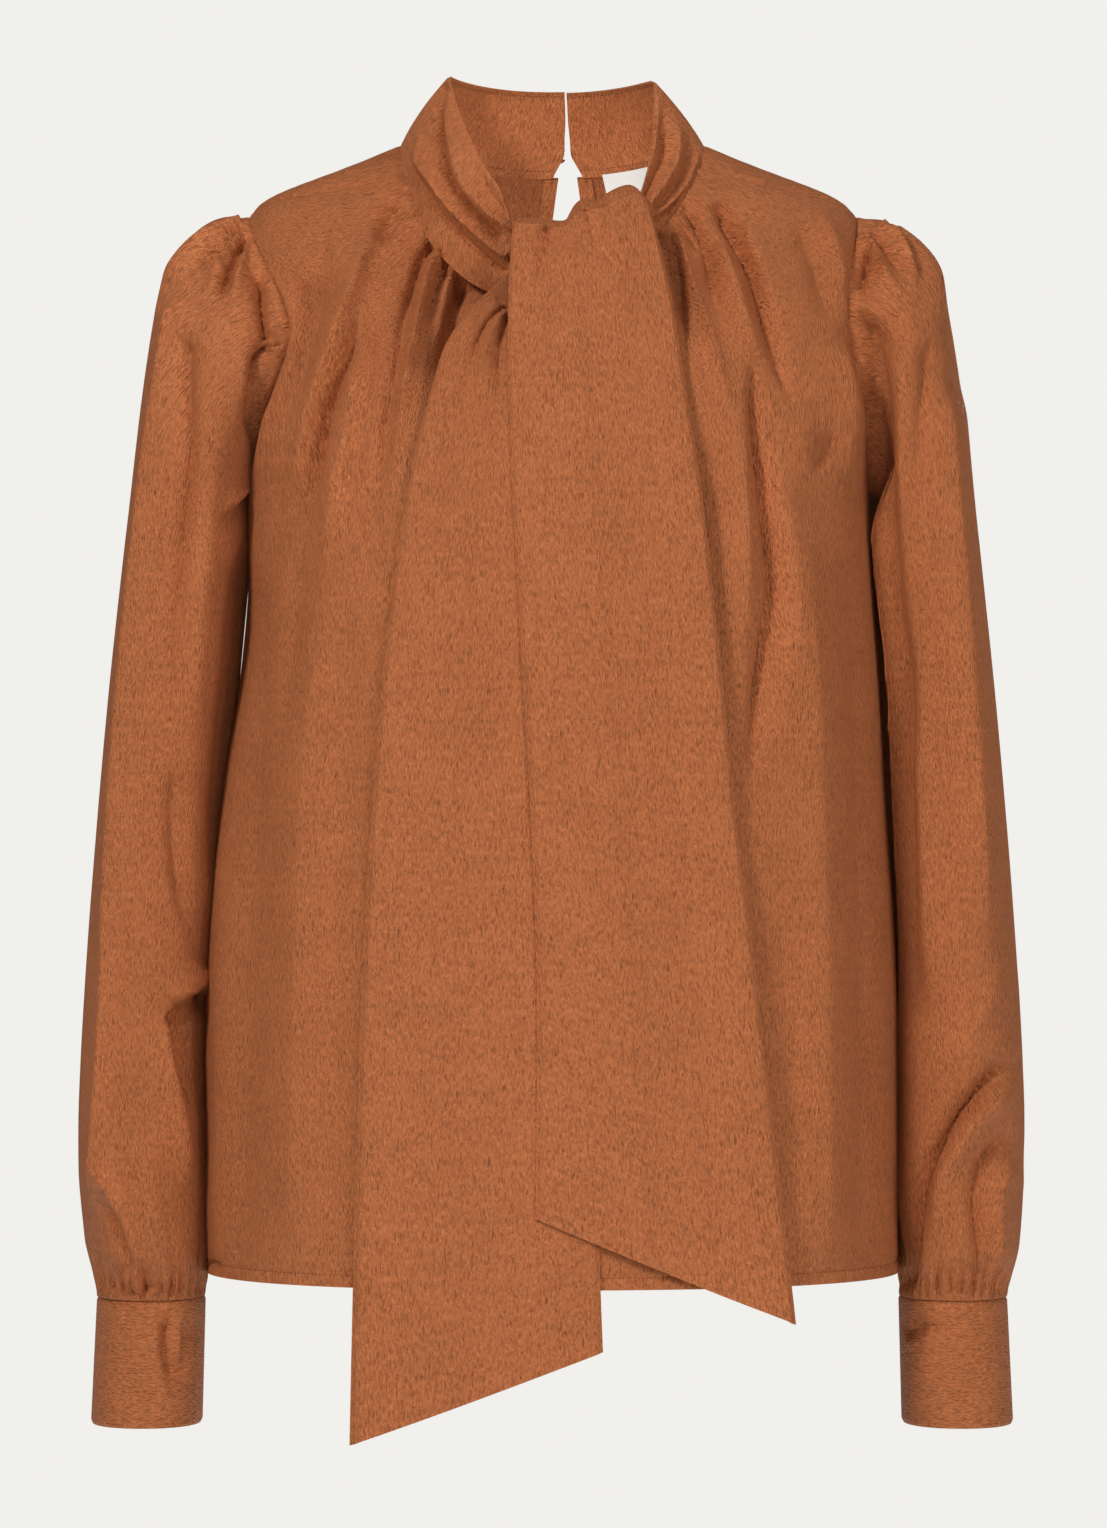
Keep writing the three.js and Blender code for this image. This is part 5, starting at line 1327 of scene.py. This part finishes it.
def make_button(name, place, normal):
    """A domed covered button, extruded ring by ring from a disc and turned to face along a normal."""
    bpy.ops.object.select_all(action="DESELECT")
    bpy.ops.mesh.primitive_circle_add(
        vertices=BUTTON_SIDES, radius=BUTTON_BACK_RADIUS * MM, fill_type="NGON")
    piece = added(name)
    bpy.ops.object.mode_set(mode="EDIT")
    bpy.ops.mesh.select_all(action="SELECT")
    for up, grow in BUTTON_RINGS:
        bpy.ops.mesh.extrude_region_move(TRANSFORM_OT_translate={"value": (0, 0, up * MM)})
        bpy.ops.transform.resize(value=(grow, grow, 1))
    bpy.ops.mesh.select_all(action="SELECT")
    face_outwards()
    bpy.ops.object.mode_set(mode="OBJECT")
    bpy.ops.object.shade_smooth()
    turn = Vector((0, 0, 1)).rotation_difference(Vector(normal)).to_matrix().to_4x4()
    piece.data.transform(Matrix.Translation(Vector((place + normal * BUTTON_GAP) * MM)) @ turn)
    return piece


def make_tube(name, path, radius):
    """A round cord along a path, closed at both ends."""
    line = smooth_line(path, TUBE_STEPS)
    course = unit(np.gradient(line, axis=0))
    side = unit(np.cross(course, TUBE_LEAN))
    up = np.cross(side, course)

    def surface(share, rise):
        row = np.rint(rise * TUBE_STEPS).astype(int)
        ends = np.minimum(rise, 1 - rise) * TUBE_STEPS
        wide = (radius * np.sqrt(np.clip(ends, 0, 1)))[:, None]
        turn = share * 2 * math.pi
        spoke = side[row] * np.cos(turn)[:, None] + up[row] * np.sin(turn)[:, None]
        return line[row] + spoke * wide

    piece = lay_cloth(name, TUBE_AROUND, TUBE_STEPS, surface)
    edit(piece, merge_doubles, face_outwards)
    bpy.ops.object.shade_smooth()
    return piece


def collar_seat(aside, height):
    """A place on the left end of the collar at the back, and the normal there."""
    where = "left", np.array([BACK_OPENING - 360 + aside]), np.array([height])
    return collar_plain(*where)[0], collar_normals(*where)[0]


def make_loop(name, height):
    """A loop of narrow cord from the right end of the collar round a button."""
    place, normal = collar_seat(NECK_BUTTON_ASIDE, height)
    root, _ = collar_seat(LOOP_ROOT_ASIDE, height)
    right = unit(root - place)
    up = unit(np.cross(normal, right))
    course = LOOP_HALF + [(along, -rise) for along, rise in LOOP_HALF[-2::-1]]
    path = [
        place + right * along * LOOP_REACH + up * rise * LOOP_REACH + normal * (LOOP_CORD + LOOP_GAP)
        for along, rise in course
    ]
    return make_tube(name, path, LOOP_CORD)


def make_facing():
    """The narrow facing inside the keyhole, one strip on each side of the slit."""
    strips = []
    for sign in (1, -1):
        def surface(share, rise, sign=sign):
            level = mix(KEYHOLE_END_LEVEL - FACING["below"], FACING["top"], rise)
            opening = opening_angle(level)
            inner = opening - sign * keyhole_half_angle(level)
            wide = FACING["wide"] / degree_wide(opening, level)
            angle = inner - sign * wide * (share if sign > 0 else 1 - share)
            return body_plain(angle, level) - body_normals(angle, level) * FACING["inward"]

        strips.append(lay_cloth("keyhole_facing", *GRIDS["facing"], surface))
    piece = join("keyhole_facing", *strips)
    edit(piece, face_outwards)
    return thicken(piece, FACING["thick"])


def make_label():
    def surface(share, rise):
        angle = mix(LABEL["start"], LABEL["end"], share) - LABEL["slant"] * (1 - rise)
        s, c = sine_cosine(angle)
        inward = LABEL["inward"] + LABEL["bulge"] * np.sin(math.pi * share) * (1 - rise)
        down = LABEL["below"] + LABEL["tall"] * (1 - rise)
        return neckline(angle) + points_of(-inward * s, inward * c, -down)

    return thicken(lay_cloth("label_tape_blank", *GRIDS["label"], surface), LABEL["thick"])


def make_stitches(name, points, normals):
    """A row of stitches along a line on the cloth."""
    run = running(np.linalg.norm(np.diff(points, axis=0), axis=1))
    stops = np.arange(STITCH_STEP / 2, run[-1], STITCH_STEP)

    def at_stops(values):
        return np.stack([np.interp(stops, run, values[:, i]) for i in range(3)], axis=1)

    at = at_stops(points)
    up = unit(at_stops(normals))
    course = unit(at_stops(np.gradient(points, axis=0)))
    side = unit(np.cross(up, course))
    bpy.ops.object.select_all(action="DESELECT")
    bpy.ops.mesh.primitive_uv_sphere_add(segments=STITCH_SIDES, ring_count=STITCH_RINGS, radius=0.5)
    model = bpy.context.object
    shape = read_points(model)
    faces = [list(face.vertices) for face in model.data.polygons]
    bpy.data.objects.remove(model)
    shape = shape * (STITCH_THICK, STITCH_THICK, STITCH_LONG)
    every = (
        at[:, None]
        + side[:, None] * shape[None, :, :1]
        + up[:, None] * (shape[None, :, 1:2] + STITCH_PROUD)
        + course[:, None] * shape[None, :, 2:]
    )
    count = len(shape)
    mesh = bpy.data.meshes.new(name)
    all_faces = [[v + i * count for v in face] for i in range(len(stops)) for face in faces]
    mesh.from_pydata((every.reshape(-1, 3) * MM).tolist(), [], all_faces)
    piece = bpy.data.objects.new(name, mesh)
    bpy.context.collection.objects.link(piece)
    pick(piece)
    bpy.ops.object.shade_smooth()
    return piece


def hem_stitches(name, surface, start, end):
    angle = np.linspace(start, end, HEM_STITCH_POINTS)
    level = np.full(HEM_STITCH_POINTS, -1 + HEM_DEEP / (UNDERARM_Z - HEM_Z))
    return make_stitches(name, surface(angle, level), body_normals(angle, level))


def collar_stitches(name, side, height):
    """A row of stitches along the inner face of the collar."""
    angle = np.linspace(*collar_ends(side, height), COLLAR_STITCH_POINTS)
    heights = np.full(COLLAR_STITCH_POINTS, height)
    normal = -collar_normals(side, angle, heights)
    return make_stitches(name, collar_surface(side, angle, heights) + normal * DOUBLE, normal)


# Put together

front = make_front()
hand_over(front, CREPE, "front")
back = make_back()
hand_over(back, CREPE, "back")
front_hem = hem_stitches("hem_stitches_front", front_surface, *HEM_STITCHED["front"])
back_hem = hem_stitches("hem_stitches_back", back_surface, *HEM_STITCHED["back"])
for piece in (front_hem, back_hem):
    hand_over(piece, THREAD)

for side in SIGN:
    sleeve = make_sleeve(side)
    hand_over(sleeve, CREPE, f"sleeve_{side}")
    cuff = make_cuff(side)
    hand_over(cuff, CREPE_BAND, f"cuff_{side}")
    for i, height in enumerate(CUFF_BUTTON_HEIGHTS, 1):
        where = side, np.array([float(CUFF_BUTTON_TURN)]), np.array([height])
        button = make_button(f"button_cuff_{side}_{i}", cuff_plain(*where)[0], cuff_normals(*where)[0])
        hand_over(button, CREPE_BUTTON, f"cuff_button_{side}_{i}")
    collar = make_collar(side)
    hand_over(collar, CREPE_SASH, f"collar_{side}")
    rim_row = collar_stitches(f"collar_rim_stitches_{side}", side, COLLAR_RIM_STITCHES)
    seam_row = collar_stitches(f"collar_seam_stitches_{side}", side, COLLAR_SEAM_STITCHES)
    for piece in (rim_row, seam_row):
        hand_over(piece, THREAD)

under_end = make_end("tie_cloth_under", "under end", under_end_surface, UNDER_END["row"][-1])
hand_over(under_end, CREPE_SASH, "tie_under_end")
over_rows = OVER_TURN_ROWS + OVER_END["row"][-1]
over_end = make_end("tie_cloth_over", "over end", over_end_surface, over_rows)
hand_over(over_end, CREPE_SASH, "tie_over_end")

for i, height in enumerate(NECK_BUTTON_HEIGHTS, 1):
    button = make_button(f"button_neck_{i}", *collar_seat(NECK_BUTTON_ASIDE, height))
    hand_over(button, CREPE_BUTTON, f"neck_button_{i}")
    hand_over(make_loop(f"loop_neck_{i}", height), CREPE_BUTTON, f"neck_loop_{i}")
facing = make_facing()
hand_over(facing, CREPE, "keyhole_binding")
label = make_label()
hand_over(label, TAPE, "label")


# Camera, floor and light


KEY_WHITE, FILL_WHITE, PLAIN_WHITE = (1.0, 0.985, 0.96), (1.0, 0.98, 0.96), (1.0, 0.99, 0.97)


def add_light(name, place, size, energy, colour, target=(0, 0, -0.33), shines=True):
    """A round soft light aimed at a target."""
    bpy.ops.object.light_add(type="AREA", location=place)
    light = bpy.context.object
    light.name = name
    light.data.shape = "DISK"
    light.data.size = size
    light.data.energy = energy
    light.data.color = colour
    light.visible_camera = False
    light.visible_glossy = shines
    course = Vector(target) - light.location
    light.rotation_euler = course.to_track_quat("-Z", "Y").to_euler()


bpy.ops.object.select_all(action="DESELECT")
bpy.ops.object.camera_add(
    location=(CAMERA_X * MM, -CAMERA_AWAY * MM, CAMERA_Z * MM), rotation=(math.pi / 2, 0, 0))
camera = bpy.context.object
camera.data.sensor_width = SENSOR
camera.data.lens = SENSOR * CAMERA_AWAY / (PHOTO_TALL * PIXEL)
bpy.context.scene.camera = camera

FLOOR_Z, FLOOR_RADIUS, FLOOR_SIDES = -1.42, 4.0, 96
FLOOR_COLOUR = linear(226, 225, 221)
bpy.ops.object.select_all(action="DESELECT")
bpy.ops.mesh.primitive_circle_add(
    vertices=FLOOR_SIDES, radius=FLOOR_RADIUS, fill_type="NGON", location=(0, 0, FLOOR_Z))
floor = bpy.context.object
floor.name = "floor"
paint = Finish("floor_paint")
floor.data.materials.append(paint.dress(
    Base_Color=FLOOR_COLOUR, Roughness=0.8, Emission_Color=FLOOR_COLOUR, Emission_Strength=0.25))

add_light("key", (-1.65, -2.2, 1.5), 0.7, 68, KEY_WHITE)
add_light("fill", (1.9, -2.3, -0.3), 1.2, 30, FILL_WHITE)
add_light("front", (0.15, -3.1, -0.2), 0.6, 9.5, FILL_WHITE)
add_light("top", (0.4, -1.8, 1.8), 0.9, 10, PLAIN_WHITE)
add_light("neck", (0.02, -0.12, 0.32), 0.12, 0.2, PLAIN_WHITE, (0, 0.05, -0.06))
add_light("inside", (0, -0.03, -0.12), 0.08, 0.14, PLAIN_WHITE, (-0.01, 0.07, -0.03))
add_light("back", (1.2, 2.8, 0.6), 1.2, 56, PLAIN_WHITE, shines=False)

BACKDROP = linear(241, 240, 236)
AMBIENT, AMBIENT_STRENGTH = (0.9, 0.9, 0.88, 1), 0.1
world = bpy.data.worlds.new("studio")
bpy.context.scene.world = world
world.use_nodes = True
nodes, links = world.node_tree.nodes, world.node_tree.links
shown = nodes["Background"]
shown.inputs["Color"].default_value = BACKDROP
ambient = nodes.new("ShaderNodeBackground")
ambient.inputs["Color"].default_value = AMBIENT
ambient.inputs["Strength"].default_value = AMBIENT_STRENGTH
path = nodes.new("ShaderNodeLightPath")
blend = nodes.new("ShaderNodeMixShader")
links.new(path.outputs["Is Camera Ray"], blend.inputs[0])
links.new(ambient.outputs[0], blend.inputs[1])
links.new(shown.outputs[0], blend.inputs[2])
links.new(blend.outputs[0], nodes["World Output"].inputs["Surface"])
bpy.context.scene.view_settings.view_transform = "Standard"
